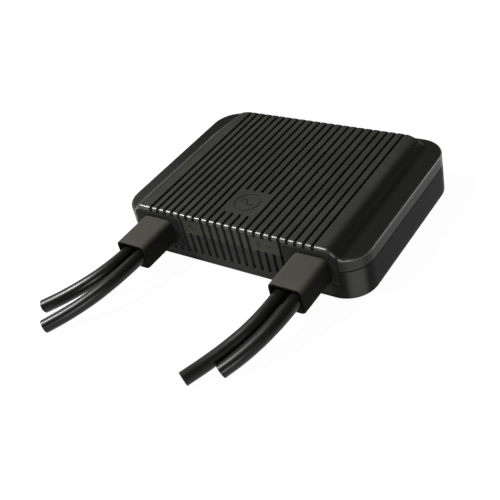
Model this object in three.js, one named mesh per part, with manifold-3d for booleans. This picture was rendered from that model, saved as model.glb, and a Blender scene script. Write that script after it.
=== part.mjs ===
// Micro inverter for one solar panel: a flat, finned, sealed box with a pair of leads in and
// a pair of leads out. Millimetres, +Z up. The origin is the middle of the housing's underside,
// +X runs along the front face and the leads leave towards -Y.
import * as THREE from 'three';
import { mergeVertices } from 'three/addons/utils/BufferGeometryUtils.js';
import Module from 'manifold-3d';

const wasm = await Module();
wasm.setup();

// ---- driving dimensions -------------------------------------------------------------------

const GAP = 0.3;                    // clearance between pieces that touch

const HOUSING_WIDTH = 124;
const HOUSING_DEPTH = 90;
const HOUSING_HEIGHT = 25.4;
const CORNER_RADIUS = 13;           // upright corners, seen from above
const WALL = 3.2;
const FLOOR = 2.4;
const ROOF = 3.2;
const SEAM_HEIGHT = 14.8;           // where the cover meets the base

const SIDE_MARGIN = 7;              // flat strip outside each shoulder
const SHOULDER_RUN = 7;             // width of the curved step down from the plateau
const SHOULDER_DROP = 4.4;
const BACK_MARGIN = 1;              // the same margin and step behind the plateau
const BACK_SHOULDER_RUN = 5;
const PLATEAU_LAND = 6;             // smooth strip between the shoulder and the outer groove

const RIB_PITCH = 4;
const GROOVE_WIDTH = 1.6;
const GROOVE_BED = 0.3;             // flat part of the bed, before it slopes up towards +X
const GROOVE_WALL_OFFSET = 0.55;    // steep wall from the groove's place in the row
const GROOVE_DEPTH = 1.1;
const GROOVE_FOOT = 4.5;            // where the grooves end above the underside

const EMBLEM_PAD_WIDTH = 16;        // smooth pad that interrupts the grooves on top
const EMBLEM_PAD_LENGTH = 16.4;
const EMBLEM_PAD_SETBACK = 9.1;     // from the front face
const MARK_PAD_WIDTHS = { left: 8, right: 12 };
const MARK_PAD_OFFSET = 3.4;        // from the gland plate's edge
const MARK_PAD_BOTTOM = 15.7;
const MARK_PAD_TOP = 22.6;

const LEAD_DIAMETER = 6.2;
const LEAD_SEPARATION = 1;          // between the two leads of a pair
const LEAD_SIDES = 10;
const LEAD_STEPS = 12;

const BOOT_INSET = 22;              // boot's middle from the housing's side
const BOOT_SIDE_WALL = 1.5;         // rubber beside the pair of leads
const BOOT_TOP_WALL = 3.2;          // rubber above and below them
const BOOT_CORNER = 3;
const BOOT_REACH = 19.3;            // how far the boot stands out of the front face
const BOOT_AXIS_HEIGHT = 13.7;
const BOOT_MOUTH_DEPTH = 4;
const BOOT_MOUTH_WALL = 1.1;
const BOOT_FLANGE = 2;              // flange behind the front wall, all round
const BOOT_FLANGE_THICKNESS = 1.6;

const PLATE_SIDE_BORDER = 4.2;      // gland plate's border beside the boot
const PLATE_LOWER_BORDER = 0.3;
const PLATE_UPPER_BORDER = 1.9;
const PLATE_THICKNESS = 1.6;
const PLATE_CORNER = 1.2;
const PLATE_SURROUND = 1;           // smooth strip above and below the plate
const PLATE_SIDE_SURROUND = 0.4;

const GASKET_WIDTH = 0.9;
const GASKET_HEIGHT = 1.1;
const GASKET_CLEARANCE = 0.2;
const GASKET_INSET = 1.6;           // outer face of the gasket from the housing's outer face

const COVER_SCREW_RADIUS = 1.5;
const COVER_SCREW_HEAD_RADIUS = 2.8;
const COVER_SCREW_HEAD_HEIGHT = 1.6;
const COVER_SCREW_BITE = 3.8;       // how far the screw reaches into the cover
const COVER_BOSS_RADIUS = 3.6;
const COVER_BOSS_INSET = 8.2;       // boss axis from the housing's sides

const CLAMP_LENGTH = 3;
const CLAMP_SIDE_WALL = 2.3;
const CLAMP_TOP_WALL = 1.4;

const BOARD_MARGIN = 2;             // board's edge from the inside of the walls
const BOARD_THICKNESS = 1.6;
const BOARD_HEIGHT = 6;             // underside of the board
const BOARD_CORNER = 7;
const PARTS_HEADROOM = 1.3;         // between the tallest part and the roof
const POST_RADIUS = 2.6;
const BOARD_SCREW_RADIUS = 1.2;
const BOARD_SCREW_HEAD_RADIUS = 2.2;
const BOARD_SCREW_HEAD_HEIGHT = 1.4;
const BOARD_SCREW_LENGTH = 4;
const POST_INSET_X = 9;             // post's axis from the inside of the walls
const POST_INSET_Y = 19.3;

const ROUND_SEGMENTS = 12;
const ARC_SEGMENTS = 3;             // doubled by three.js on every quarter circle
const SHOULDER_SEGMENTS = 8;

// ---- worked-out places --------------------------------------------------------------------

const HALF_WIDTH = HOUSING_WIDTH / 2;
const HALF_DEPTH = HOUSING_DEPTH / 2;
const MARGIN_HEIGHT = HOUSING_HEIGHT - SHOULDER_DROP;
const SHOULDER_FOOT = HALF_WIDTH - SIDE_MARGIN;
const SHOULDER_TOP = SHOULDER_FOOT - SHOULDER_RUN;
const BACK_SHOULDER_FOOT = HALF_DEPTH - BACK_MARGIN;
const BACK_SHOULDER_TOP = BACK_SHOULDER_FOOT - BACK_SHOULDER_RUN;
const GROOVE_SPAN = 2 * (SHOULDER_TOP - PLATEAU_LAND);
const GROOVE_COUNT = Math.floor(GROOVE_SPAN / RIB_PITCH + 1e-6) + 1;
const FRONT_WALL_INSIDE = -HALF_DEPTH + WALL;
const BOOT_X = HALF_WIDTH - BOOT_INSET;
const LEAD_SPACING = LEAD_DIAMETER + LEAD_SEPARATION;
const LEAD_PAIR_WIDTH = LEAD_SPACING + LEAD_DIAMETER;
const LEAD_BORE = LEAD_DIAMETER + 2 * GAP;
const BOOT_WIDTH = LEAD_PAIR_WIDTH + 2 * BOOT_SIDE_WALL;
const BOOT_HEIGHT = LEAD_DIAMETER + 2 * BOOT_TOP_WALL;
const PLATE_WIDTH = BOOT_WIDTH + 2 * PLATE_SIDE_BORDER;
const PLATE_BOTTOM = BOOT_AXIS_HEIGHT - BOOT_HEIGHT / 2 - PLATE_LOWER_BORDER;
const PLATE_TOP = BOOT_AXIS_HEIGHT + BOOT_HEIGHT / 2 + PLATE_UPPER_BORDER;
const COVER_SCREW_TIP = SEAM_HEIGHT + COVER_SCREW_BITE;
const BOARD_TOP = BOARD_HEIGHT + BOARD_THICKNESS;
const PARTS_BOTTOM = BOARD_TOP + GAP;
const TALLEST_PART = HOUSING_HEIGHT - ROOF - PARTS_HEADROOM - PARTS_BOTTOM;
const SIDES = { left: -1, right: 1 };
const BEYOND = 1;                   // how far a cutting shape runs past what it cuts

// ---- finishes -----------------------------------------------------------------------------

const finish = (color, roughness, metalness) => (
  new THREE.MeshStandardMaterial({ color, roughness, metalness }));

const COVER_BLACK = finish(0x3e3e3a, 0.5, 0.2);
const BASE_BLACK = finish(0x35353a, 0.55, 0.1);
const RUBBER_BLACK = finish(0x4c4c46, 0.7, 0);
const LEAD_BLACK = finish(0x161616, 0.45, 0);
const GASKET_GREY = finish(0x222222, 0.9, 0);
const BOARD_GREEN = finish(0x1d5a35, 0.5, 0);
const ALUMINIUM = finish(0xb9bcc0, 0.35, 0.9);
const THERMAL_PINK = finish(0xb58ea0, 0.9, 0);
const FERRITE = finish(0x2d2b2c, 0.8, 0.1);
const COPPER = finish(0xb46a35, 0.35, 0.9);
const NYLON_WHITE = finish(0xd8d6cc, 0.6, 0);
const CAPACITOR_SLEEVE = finish(0x1f2430, 0.4, 0.1);
const FILM_YELLOW = finish(0xc79a2b, 0.5, 0);
const RELAY_BLACK = finish(0x20242a, 0.5, 0);
const PACKAGE_BLACK = finish(0x191919, 0.6, 0);
const TERMINAL_GREEN = finish(0x2f7a4a, 0.5, 0);
const STEEL = finish(0x9da0a3, 0.3, 0.95);

// ---- shape helpers ------------------------------------------------------------------------

function solid(geometry) {
  const bare = geometry.clone();
  bare.deleteAttribute('normal');
  bare.deleteAttribute('uv');
  const merged = mergeVertices(bare, 1e-4);
  return new wasm.Manifold(new wasm.Mesh({
    numProp: 3,
    vertProperties: new Float32Array(merged.attributes.position.array),
    triVerts: new Uint32Array(merged.index.array),
  }));
}

function geometryOf(body) {
  const mesh = body.getMesh();
  const geometry = new THREE.BufferGeometry();
  geometry.setAttribute('position', new THREE.BufferAttribute(mesh.vertProperties, 3));
  geometry.setIndex(new THREE.BufferAttribute(mesh.triVerts, 1));
  geometry.computeVertexNormals();
  return geometry;
}

const joined = (bodies) => bodies.reduce((sum, body) => sum.add(body));
const cutAway = (body, tools) => tools.reduce((rest, tool) => rest.subtract(tool), body);

function roundedRectangle(width, height, radius, centreX = 0, centreY = 0) {
  const x = width / 2 - radius;
  const y = height / 2 - radius;
  const shape = new THREE.Shape();
  shape.absarc(centreX + x, centreY + y, radius, 0, Math.PI / 2);
  shape.absarc(centreX - x, centreY + y, radius, Math.PI / 2, Math.PI);
  shape.absarc(centreX - x, centreY - y, radius, Math.PI, 1.5 * Math.PI);
  shape.absarc(centreX + x, centreY - y, radius, 1.5 * Math.PI, 2 * Math.PI);
  shape.closePath();
  return shape;
}

// An outline in X and Y, raised from z = bottom to z = top.
function raised(shape, bottom, top, curveSegments = ARC_SEGMENTS) {
  const geometry = new THREE.ExtrudeGeometry(
    shape, { depth: top - bottom, bevelEnabled: false, curveSegments });
  return geometry.translate(0, 0, bottom);
}

// An outline in X and Z, drawn out from y = front to y = back.
function drawnBack(shape, front, back, curveSegments = ARC_SEGMENTS) {
  const geometry = new THREE.ExtrudeGeometry(
    shape, { depth: back - front, bevelEnabled: false, curveSegments });
  return geometry.rotateX(Math.PI / 2).translate(0, back, 0);
}

// An outline in Y and Z, drawn across from x = left to x = right.
function drawnAcross(shape, left, right, curveSegments = ARC_SEGMENTS) {
  const geometry = new THREE.ExtrudeGeometry(
    shape, { depth: right - left, bevelEnabled: false, curveSegments });
  return geometry.rotateX(Math.PI / 2).rotateZ(Math.PI / 2).translate(left, 0, 0);
}

function block(width, depth, height, x, y, bottom) {
  return new THREE.BoxGeometry(width, depth, height).translate(x, y, bottom + height / 2);
}

function pin(radius, bottom, top, x = 0, y = 0) {
  const geometry = new THREE.CylinderGeometry(radius, radius, top - bottom, ROUND_SEGMENTS);
  return geometry.rotateX(Math.PI / 2).translate(x, y, (top + bottom) / 2);
}

function boreAlongY(radius, front, back, x, z) {
  const geometry = new THREE.CylinderGeometry(radius, radius, back - front, ROUND_SEGMENTS);
  return geometry.translate(x, (front + back) / 2, z);
}

function turned(profile, x = 0, y = 0, bottom = 0) {
  const points = profile.map(([radius, height]) => new THREE.Vector2(radius, height));
  const geometry = new THREE.LatheGeometry(points, ROUND_SEGMENTS);
  return geometry.rotateX(Math.PI / 2).translate(x, y, bottom);
}

// ---- the object ---------------------------------------------------------------------------

const inverter = new THREE.Group();
const housing = new THREE.Group();
const electronics = new THREE.Group();
const leads = new THREE.Group();
inverter.add(housing, electronics, leads);

function place(group, name, shape, material, position = [0, 0, 0]) {
  const geometry = shape.isBufferGeometry ? shape : geometryOf(shape);
  const mesh = new THREE.Mesh(geometry, material);
  mesh.name = name;
  mesh.position.set(...position);
  group.add(mesh);
}

// ---- outline of the housing from the front ------------------------------------------------

// A flat plateau with an S-shaped shoulder down to a flat margin on each side. sink lowers the
// whole outline, for the inside of the roof.
function housingProfile(sink = 0) {
  const top = HOUSING_HEIGHT - sink;
  const margin = MARGIN_HEIGHT - sink;
  const edge = HALF_WIDTH + BEYOND;
  const bend = SHOULDER_RUN / 2;
  const shape = new THREE.Shape();
  shape.moveTo(-edge, -BEYOND);
  shape.lineTo(edge, -BEYOND);
  shape.lineTo(edge, margin);
  shape.lineTo(SHOULDER_FOOT, margin);
  shape.bezierCurveTo(SHOULDER_FOOT - bend, margin, SHOULDER_TOP + bend, top, SHOULDER_TOP, top);
  shape.lineTo(-SHOULDER_TOP, top);
  shape.bezierCurveTo(
    -SHOULDER_TOP - bend, top, -SHOULDER_FOOT + bend, margin, -SHOULDER_FOOT, margin);
  shape.lineTo(-edge, margin);
  shape.closePath();
  return shape;
}

// The same step down behind the plateau, seen from the side. The front edge has none.
function backProfile(sink = 0) {
  const top = HOUSING_HEIGHT - sink;
  const margin = MARGIN_HEIGHT - sink;
  const edge = HALF_DEPTH + BEYOND;
  const bend = BACK_SHOULDER_RUN / 2;
  const shape = new THREE.Shape();
  shape.moveTo(-edge, -BEYOND);
  shape.lineTo(edge, -BEYOND);
  shape.lineTo(edge, margin);
  shape.lineTo(BACK_SHOULDER_FOOT, margin);
  shape.bezierCurveTo(BACK_SHOULDER_FOOT - bend, margin,
    BACK_SHOULDER_TOP + bend, top, BACK_SHOULDER_TOP, top);
  shape.lineTo(-edge, top);
  shape.closePath();
  return shape;
}

function plan(inset) {
  return roundedRectangle(
    HOUSING_WIDTH - 2 * inset, HOUSING_DEPTH - 2 * inset, Math.max(CORNER_RADIUS - inset, 1));
}

const corners = (x, y) => [[-x, -y], [-x, y], [x, -y], [x, y]];
const screwCorners = corners(HALF_WIDTH - COVER_BOSS_INSET, HALF_DEPTH - COVER_BOSS_INSET);

// ---- grooves that run over the plateau and down the front ---------------------------------

// One groove: a steep wall on its -X side, a narrow bed and a slope back up to the surface. It is
// a slab less a core that is smaller than the housing by the groove's depth, so the groove runs
// out where the surface drops behind the plateau. The core is longer than the slab, and its slope
// runs on past the surface, so that the cuts are clean.
function grooveLoop(x) {
  const wallX = x - GROOVE_WALL_OFFSET;
  const rise = GROOVE_DEPTH / (GROOVE_WIDTH - GROOVE_BED);
  const slabWidth = GROOVE_WIDTH + GAP;
  const coreWidth = slabWidth + GAP;
  const section = (sectionX, depth) => [-HALF_DEPTH + depth, HALF_DEPTH + 2 * BEYOND].flatMap(
    (y) => [[sectionX, y, 0], [sectionX, y, HOUSING_HEIGHT - depth]]);
  const core = wasm.Manifold.hull([
    ...section(wallX - GAP, GROOVE_DEPTH), ...section(wallX + GROOVE_BED, GROOVE_DEPTH),
    ...section(wallX + coreWidth, (GROOVE_WIDTH - coreWidth) * rise)]);
  const slab = solid(block(slabWidth, HOUSING_DEPTH + 2 * BEYOND,
    HOUSING_HEIGHT + BEYOND - GROOVE_FOOT, wallX + slabWidth / 2, 0, GROOVE_FOOT));
  return slab.subtract(core);
}

// Blocks where the grooves stop short and the surface stays smooth.
function smoothPads() {
  const padY = -HALF_DEPTH + EMBLEM_PAD_SETBACK + EMBLEM_PAD_LENGTH / 2;
  const padBottom = HOUSING_HEIGHT - 2 * GROOVE_DEPTH;
  const pads = [
    block(EMBLEM_PAD_WIDTH, EMBLEM_PAD_LENGTH, 4 * GROOVE_DEPTH, 0, padY, padBottom)];
  const onFront = (width, bottom, top, x) => (
    block(width, 4 * GROOVE_DEPTH, top - bottom, x, -HALF_DEPTH, bottom));
  for (const [side, sideX] of Object.entries(SIDES)) {
    const markX = BOOT_X - PLATE_WIDTH / 2 - MARK_PAD_OFFSET - MARK_PAD_WIDTHS[side] / 2;
    pads.push(onFront(MARK_PAD_WIDTHS[side], MARK_PAD_BOTTOM, MARK_PAD_TOP, sideX * markX));
    pads.push(onFront(PLATE_WIDTH + 2 * PLATE_SIDE_SURROUND,
      PLATE_BOTTOM - PLATE_SURROUND, PLATE_TOP + PLATE_SURROUND, sideX * BOOT_X));
  }
  return pads.map(solid);
}

const grooves = Array.from({ length: GROOVE_COUNT }, (unused, index) => (
  grooveLoop((index - (GROOVE_COUNT - 1) / 2) * RIB_PITCH)));
const grooveCutter = cutAway(joined(grooves), smoothPads());

// ---- openings in the front wall: a shallow seat for each plate, a hole for each boot ------

function plateOutline(grow, sideX) {
  return roundedRectangle(PLATE_WIDTH + 2 * grow, PLATE_TOP - PLATE_BOTTOM + 2 * grow,
    PLATE_CORNER + grow, sideX * BOOT_X, (PLATE_TOP + PLATE_BOTTOM) / 2);
}

function plateSeat(sideX) {
  return solid(drawnBack(
    plateOutline(GAP, sideX), -HALF_DEPTH - BEYOND, -HALF_DEPTH + PLATE_THICKNESS + GAP));
}

function bootSection(grow, sideX) {
  return roundedRectangle(BOOT_WIDTH + 2 * grow, BOOT_HEIGHT + 2 * grow,
    BOOT_CORNER + grow, sideX * BOOT_X, BOOT_AXIS_HEIGHT);
}

function bootHole(sideX) {
  return solid(drawnBack(
    bootSection(GAP, sideX), -HALF_DEPTH - BEYOND, FRONT_WALL_INSIDE + BEYOND));
}

const wallOpenings = Object.values(SIDES).flatMap((sideX) => [plateSeat(sideX), bootHole(sideX)]);

// ---- cover and base -----------------------------------------------------------------------

function coverBoss([x, y]) {
  return solid(pin(COVER_BOSS_RADIUS, SEAM_HEIGHT + GAP / 2, MARGIN_HEIGHT - ROOF / 2, x, y));
}

function screwHoleInCover([x, y]) {
  return solid(pin(
    COVER_SCREW_RADIUS + GAP, SEAM_HEIGHT - BEYOND, COVER_SCREW_TIP + GAP, x, y));
}

function topCover() {
  const low = SEAM_HEIGHT + GAP / 2;
  const below = (sink) => {
    const [depth, width] = [HALF_DEPTH + 2 * BEYOND, HALF_WIDTH + 2 * BEYOND];
    return solid(drawnBack(housingProfile(sink), -depth, depth, SHOULDER_SEGMENTS))
      .intersect(solid(drawnAcross(backProfile(sink), -width, width, SHOULDER_SEGMENTS)));
  };
  const outside = solid(raised(plan(0), low, HOUSING_HEIGHT + BEYOND)).intersect(below(0));
  const room = solid(raised(plan(WALL), low - BEYOND, HOUSING_HEIGHT)).intersect(below(ROOF));
  const shell = joined([outside.subtract(room), ...screwCorners.map(coverBoss)]);
  return cutAway(shell, [grooveCutter, ...wallOpenings, ...screwCorners.map(screwHoleInCover)]);
}

function gasketChannel() {
  const grow = GASKET_CLEARANCE;
  const ring = plan(GASKET_INSET - grow);
  ring.holes.push(plan(GASKET_INSET + GASKET_WIDTH + grow));
  return solid(raised(ring, SEAM_HEIGHT - GASKET_HEIGHT - GAP / 2, SEAM_HEIGHT + BEYOND));
}

function baseBoss([x, y]) {
  return solid(pin(COVER_BOSS_RADIUS, FLOOR / 2, SEAM_HEIGHT - GAP / 2, x, y));
}

function screwHoleInBase([x, y]) {
  const head = pin(
    COVER_SCREW_HEAD_RADIUS + GAP, -BEYOND, COVER_SCREW_HEAD_HEIGHT + GAP, x, y);
  const shank = pin(COVER_SCREW_RADIUS + GAP, -BEYOND, SEAM_HEIGHT + BEYOND, x, y);
  return solid(shank).add(solid(head));
}

const postPlaces = corners(HALF_WIDTH - WALL - POST_INSET_X, HALF_DEPTH - WALL - POST_INSET_Y);

function boardPost([x, y]) {
  const bore = pin(BOARD_SCREW_RADIUS + GAP, FLOOR, BOARD_HEIGHT, x, y);
  return solid(pin(POST_RADIUS, FLOOR / 2, BOARD_HEIGHT - GAP, x, y)).subtract(solid(bore));
}

function baseShell() {
  const tray = cutAway(solid(raised(plan(0), 0, SEAM_HEIGHT - GAP / 2)),
    [solid(raised(plan(WALL), FLOOR, SEAM_HEIGHT + BEYOND))]);
  const fitted = joined([tray, ...screwCorners.map(baseBoss), ...postPlaces.map(boardPost)]);
  return cutAway(fitted, [
    grooveCutter, gasketChannel(), ...wallOpenings, ...screwCorners.map(screwHoleInBase)]);
}

place(housing, 'top_cover', topCover(), COVER_BLACK);
place(housing, 'base_shell', baseShell(), BASE_BLACK);

function gasket() {
  const ring = plan(GASKET_INSET);
  ring.holes.push(plan(GASKET_INSET + GASKET_WIDTH));
  const whole = solid(raised(ring, SEAM_HEIGHT - GASKET_HEIGHT, SEAM_HEIGHT - GAP / 2));
  return cutAway(whole, wallOpenings);
}

// The boots interrupt the seam, so the gasket is a long piece and a short one between them.
const bySize = (body) => body.decompose().sort((one, other) => other.volume() - one.volume());
const [longGasket, shortGasket] = bySize(gasket());
place(housing, 'cover_gasket', longGasket, GASKET_GREY);
place(housing, 'front_gasket', shortGasket, GASKET_GREY);

function coverScrew() {
  const point = 1;
  return turned([
    [0, GAP / 2], [COVER_SCREW_HEAD_RADIUS, GAP / 2],
    [COVER_SCREW_HEAD_RADIUS, COVER_SCREW_HEAD_HEIGHT],
    [COVER_SCREW_RADIUS, COVER_SCREW_HEAD_HEIGHT],
    [COVER_SCREW_RADIUS, COVER_SCREW_TIP - point], [0, COVER_SCREW_TIP]]);
}

screwCorners.forEach(([x, y], index) => {
  place(housing, `cover_screw_${index + 1}`, coverScrew(), STEEL, [x, y, 0]);
});

// ---- gland plates, boots and clamps -------------------------------------------------------

function glandPlate(sideX) {
  const plate = drawnBack(plateOutline(0, sideX), -HALF_DEPTH, -HALF_DEPTH + PLATE_THICKNESS);
  return cutAway(solid(plate), [bootHole(sideX)]);
}

function leadBore(x) {
  return solid(boreAlongY(LEAD_BORE / 2, -HALF_DEPTH - 2 * BOOT_REACH, 0, x, BOOT_AXIS_HEIGHT));
}

const leadOffsets = [-LEAD_SPACING / 2, LEAD_SPACING / 2];

function cableBoot(sideX) {
  const tip = -HALF_DEPTH - BOOT_REACH;
  const tail = FRONT_WALL_INSIDE + GAP;
  const sleeve = solid(drawnBack(bootSection(0, sideX), tip, tail + BOOT_FLANGE_THICKNESS));
  const flange = solid(drawnBack(
    bootSection(BOOT_FLANGE, sideX), tail, tail + BOOT_FLANGE_THICKNESS));
  const mouth = solid(drawnBack(
    bootSection(-BOOT_MOUTH_WALL, sideX), tip - BEYOND, tip + BOOT_MOUTH_DEPTH));
  const bores = leadOffsets.map((offset) => leadBore(sideX * BOOT_X + offset));
  return cutAway(joined([sleeve, flange]), [mouth, ...bores]);
}

const clampFront = FRONT_WALL_INSIDE + BOOT_FLANGE_THICKNESS + 2 * GAP;

function cableClamp(sideX) {
  const height = LEAD_DIAMETER + 2 * CLAMP_TOP_WALL;
  const body = block(LEAD_PAIR_WIDTH + 2 * CLAMP_SIDE_WALL, CLAMP_LENGTH, height,
    sideX * BOOT_X, clampFront + CLAMP_LENGTH / 2, BOOT_AXIS_HEIGHT - height / 2);
  const bores = leadOffsets.map((offset) => leadBore(sideX * BOOT_X + offset));
  return cutAway(solid(body), bores);
}

for (const [side, sideX] of Object.entries(SIDES)) {
  place(housing, `${side}_gland_plate`, glandPlate(sideX), BASE_BLACK);
  place(housing, `${side}_cable_boot`, cableBoot(sideX), RUBBER_BLACK);
  place(housing, `${side}_cable_clamp`, cableClamp(sideX), NYLON_WHITE);
}

// ---- the four leads -----------------------------------------------------------------------

// Each lead starts behind its clamp, runs straight out of its boot, bends towards -X and comes
// down onto the surface that the inverter stands on. The points are the lead's centre line.
const LEAD_ROUTES = {
  grid_lead_neutral: [
    [-43.6, -37, 13.7], [-43.6, -50.5, 13.7], [-43.6, -63.5, 13.7], [-45, -70.7, 13],
    [-48.5, -78.5, 11.3], [-54.1, -86, 8.9], [-61.1, -92.5, 6], [-68.7, -98.4, 3.2]],
  grid_lead_live: [
    [-36.4, -37, 13.7], [-36.4, -50.5, 13.7], [-36.4, -63.5, 13.7], [-37.5, -71.8, 12.9],
    [-40.6, -81.6, 11], [-45.7, -91.3, 8.3], [-52, -100, 5.6], [-58.9, -108.1, 3.2]],
  panel_lead_negative: [
    [36.4, -37, 13.7], [36.4, -50.5, 13.7], [36.4, -63.5, 13.7], [34.9, -73.2, 12],
    [32, -81.4, 9.5], [27.7, -89.7, 6.8], [22.8, -98.6, 4.6], [17.9, -108, 3.2]],
  panel_lead_positive: [
    [43.6, -37, 13.7], [43.6, -50.5, 13.7], [43.6, -63.5, 13.7], [42.9, -70.2, 12.8],
    [41.4, -76.5, 11.3], [38.4, -84.2, 8.8], [34.3, -91.9, 6], [29.4, -99, 3.2]],
};

function lead(points) {
  const route = new THREE.CatmullRomCurve3(points.map((point) => new THREE.Vector3(...point)));
  const section = new THREE.Shape();
  section.absarc(0, 0, LEAD_DIAMETER / 2, 0, 2 * Math.PI);
  return new THREE.ExtrudeGeometry(section, {
    steps: LEAD_STEPS, curveSegments: LEAD_SIDES / 2, bevelEnabled: false, extrudePath: route });
}

for (const [name, points] of Object.entries(LEAD_ROUTES)) {
  place(leads, name, lead(points), LEAD_BLACK);
}

// ---- circuit board and what it sits on ----------------------------------------------------

const roomDepth = HOUSING_DEPTH - 2 * WALL;
const roomWidth = HOUSING_WIDTH - 2 * WALL;

function circuitBoard() {
  const shape = roundedRectangle(
    roomWidth - 2 * BOARD_MARGIN, roomDepth - 2 * BOARD_MARGIN, BOARD_CORNER);
  const board = solid(raised(shape, BOARD_HEIGHT, BOARD_TOP));
  const bossRoom = COVER_BOSS_RADIUS + GAP;
  const notches = screwCorners.map(([x, y]) => (
    solid(pin(bossRoom, BOARD_HEIGHT - BEYOND, BOARD_TOP + BEYOND, x, y))));
  const holes = postPlaces.map(([x, y]) => (
    solid(pin(BOARD_SCREW_RADIUS + GAP, BOARD_HEIGHT - BEYOND, BOARD_TOP + BEYOND, x, y))));
  return bySize(cutAway(board, [...notches, ...holes]))[0];
}

place(electronics, 'circuit_board', circuitBoard(), BOARD_GREEN);

function boardScrew() {
  const head = BOARD_SCREW_HEAD_HEIGHT;
  const point = 0.6;
  return turned([
    [0, -BOARD_SCREW_LENGTH], [BOARD_SCREW_RADIUS, -BOARD_SCREW_LENGTH + point],
    [BOARD_SCREW_RADIUS, 0], [BOARD_SCREW_HEAD_RADIUS, 0], [BOARD_SCREW_HEAD_RADIUS, head],
    [0, head]]);
}

postPlaces.forEach(([x, y], index) => {
  place(electronics, `board_screw_${index + 1}`, boardScrew(), STEEL, [x, y, BOARD_TOP + GAP]);
});

const SPREADER_MARGIN_X = 20.8;     // from the walls, which leaves room for the posts
const SPREADER_MARGIN_Y = 13.3;
const SPREADER_THICKNESS = 1.8;
const SPREADER_CORNER = 3;
const THERMAL_PAD_INSET = 3;

function spreaderOutline(inset) {
  return roundedRectangle(roomWidth - 2 * (SPREADER_MARGIN_X + inset),
    roomDepth - 2 * (SPREADER_MARGIN_Y + inset), SPREADER_CORNER);
}

const spreaderBottom = FLOOR + GAP;
const spreaderTop = spreaderBottom + SPREADER_THICKNESS;
place(electronics, 'heat_spreader',
  raised(spreaderOutline(0), spreaderBottom, spreaderTop), ALUMINIUM);
place(electronics, 'thermal_pad',
  raised(spreaderOutline(THERMAL_PAD_INSET), spreaderTop + GAP, BOARD_HEIGHT - GAP),
  THERMAL_PINK);

// ---- terminal blocks behind the clamps ----------------------------------------------------

const TERMINAL_SIZE = [17, 8, 9];
const TERMINAL_BORE_RADIUS = 1.8;
const TERMINAL_SETBACK = 0.5;       // from the clamp
const terminalFront = clampFront + CLAMP_LENGTH + TERMINAL_SETBACK;

function terminalBlock() {
  const [width, depth, height] = TERMINAL_SIZE;
  const bores = leadOffsets.map((offset) => (
    solid(boreAlongY(TERMINAL_BORE_RADIUS, -depth, depth / 4, offset, height / 2))));
  return cutAway(solid(block(width, depth, height, 0, 0, 0)), bores);
}

for (const [side, sideX] of Object.entries(SIDES)) {
  place(electronics, `${side}_terminal_block`, terminalBlock(), TERMINAL_GREEN,
    [sideX * BOOT_X, terminalFront + TERMINAL_SIZE[1] / 2, PARTS_BOTTOM]);
}

// ---- transformer: two E cores, a bobbin and its winding ------------------------------------

const CORE = { width: 30, depth: 15, legWidth: 4, middleWidth: 8, yoke: 2.6 };
const CORE_HEIGHT = TALLEST_PART;
const TRANSFORMER_SETBACK = 51.4;   // the core's middle from the front wall
const transformerY = FRONT_WALL_INSIDE + TRANSFORMER_SETBACK;
const TRANSFORMER_PLACE = [0, transformerY, PARTS_BOTTOM];

function coreHalf() {
  const yoke = block(CORE.width, CORE.depth, CORE.yoke, 0, 0, 0);
  const legHeight = CORE_HEIGHT / 2 - GAP / 2;
  const outer = (CORE.width - CORE.legWidth) / 2;
  const legs = [[-outer, CORE.legWidth], [0, CORE.middleWidth], [outer, CORE.legWidth]];
  const solids = legs.map(([x, width]) => solid(block(width, CORE.depth, legHeight, x, 0, 0)));
  return joined([solid(yoke), ...solids]);
}

const coreInverted = geometryOf(coreHalf()).rotateY(Math.PI).translate(0, 0, CORE_HEIGHT);
place(electronics, 'transformer_core_lower', coreHalf(), FERRITE, TRANSFORMER_PLACE);
place(electronics, 'transformer_core_upper', coreInverted, FERRITE, TRANSFORMER_PLACE);

// A hollow rectangle round the core's middle leg.
function collar(innerWidth, innerDepth, wall, bottom, top) {
  const corner = 0.4;
  const ring = roundedRectangle(innerWidth + 2 * wall, innerDepth + 2 * wall, 3 * corner);
  ring.holes.push(roundedRectangle(innerWidth, innerDepth, corner));
  return raised(ring, bottom, top);
}

const bobbinWall = 1;
const bobbinBottom = CORE.yoke + GAP;
const bobbinTop = CORE_HEIGHT - CORE.yoke - GAP;
const bobbinInside = [CORE.middleWidth + 2 * GAP, CORE.depth + 2 * GAP];
place(electronics, 'transformer_bobbin',
  collar(...bobbinInside, bobbinWall, bobbinBottom, bobbinTop), NYLON_WHITE, TRANSFORMER_PLACE);
const windingInside = bobbinInside.map((size) => size + 2 * (bobbinWall + GAP));
const windingWall = (CORE.width / 2 - CORE.legWidth - GAP) - windingInside[0] / 2;
place(electronics, 'transformer_winding',
  collar(...windingInside, windingWall, bobbinBottom + GAP, bobbinTop - GAP), COPPER,
  TRANSFORMER_PLACE);

// ---- capacitors, choke, relay, switches and controllers -----------------------------------

const PART_SPACING = 2.5;
const firstRow = terminalFront + TERMINAL_SIZE[1] + PART_SPACING;
const COLUMN_INSET = 24;            // the outer columns from the side walls
const RIGHT_COLUMN = roomWidth / 2 - COLUMN_INSET;
const LEFT_COLUMN = -RIGHT_COLUMN;

// Where part number `index` of a row stands on the board, the row's middle being at [x, y].
const inRow = (index, count, spacing, x, y) => (
  [x + (index - (count - 1) / 2) * spacing, y, PARTS_BOTTOM]);

const RELAY_SIZE = [15, 10, 10];
const relayY = firstRow + RELAY_SIZE[1] / 2;
place(electronics, 'grid_relay', block(...RELAY_SIZE, 0, 0, 0), RELAY_BLACK,
  [LEFT_COLUMN, relayY, PARTS_BOTTOM]);

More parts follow.
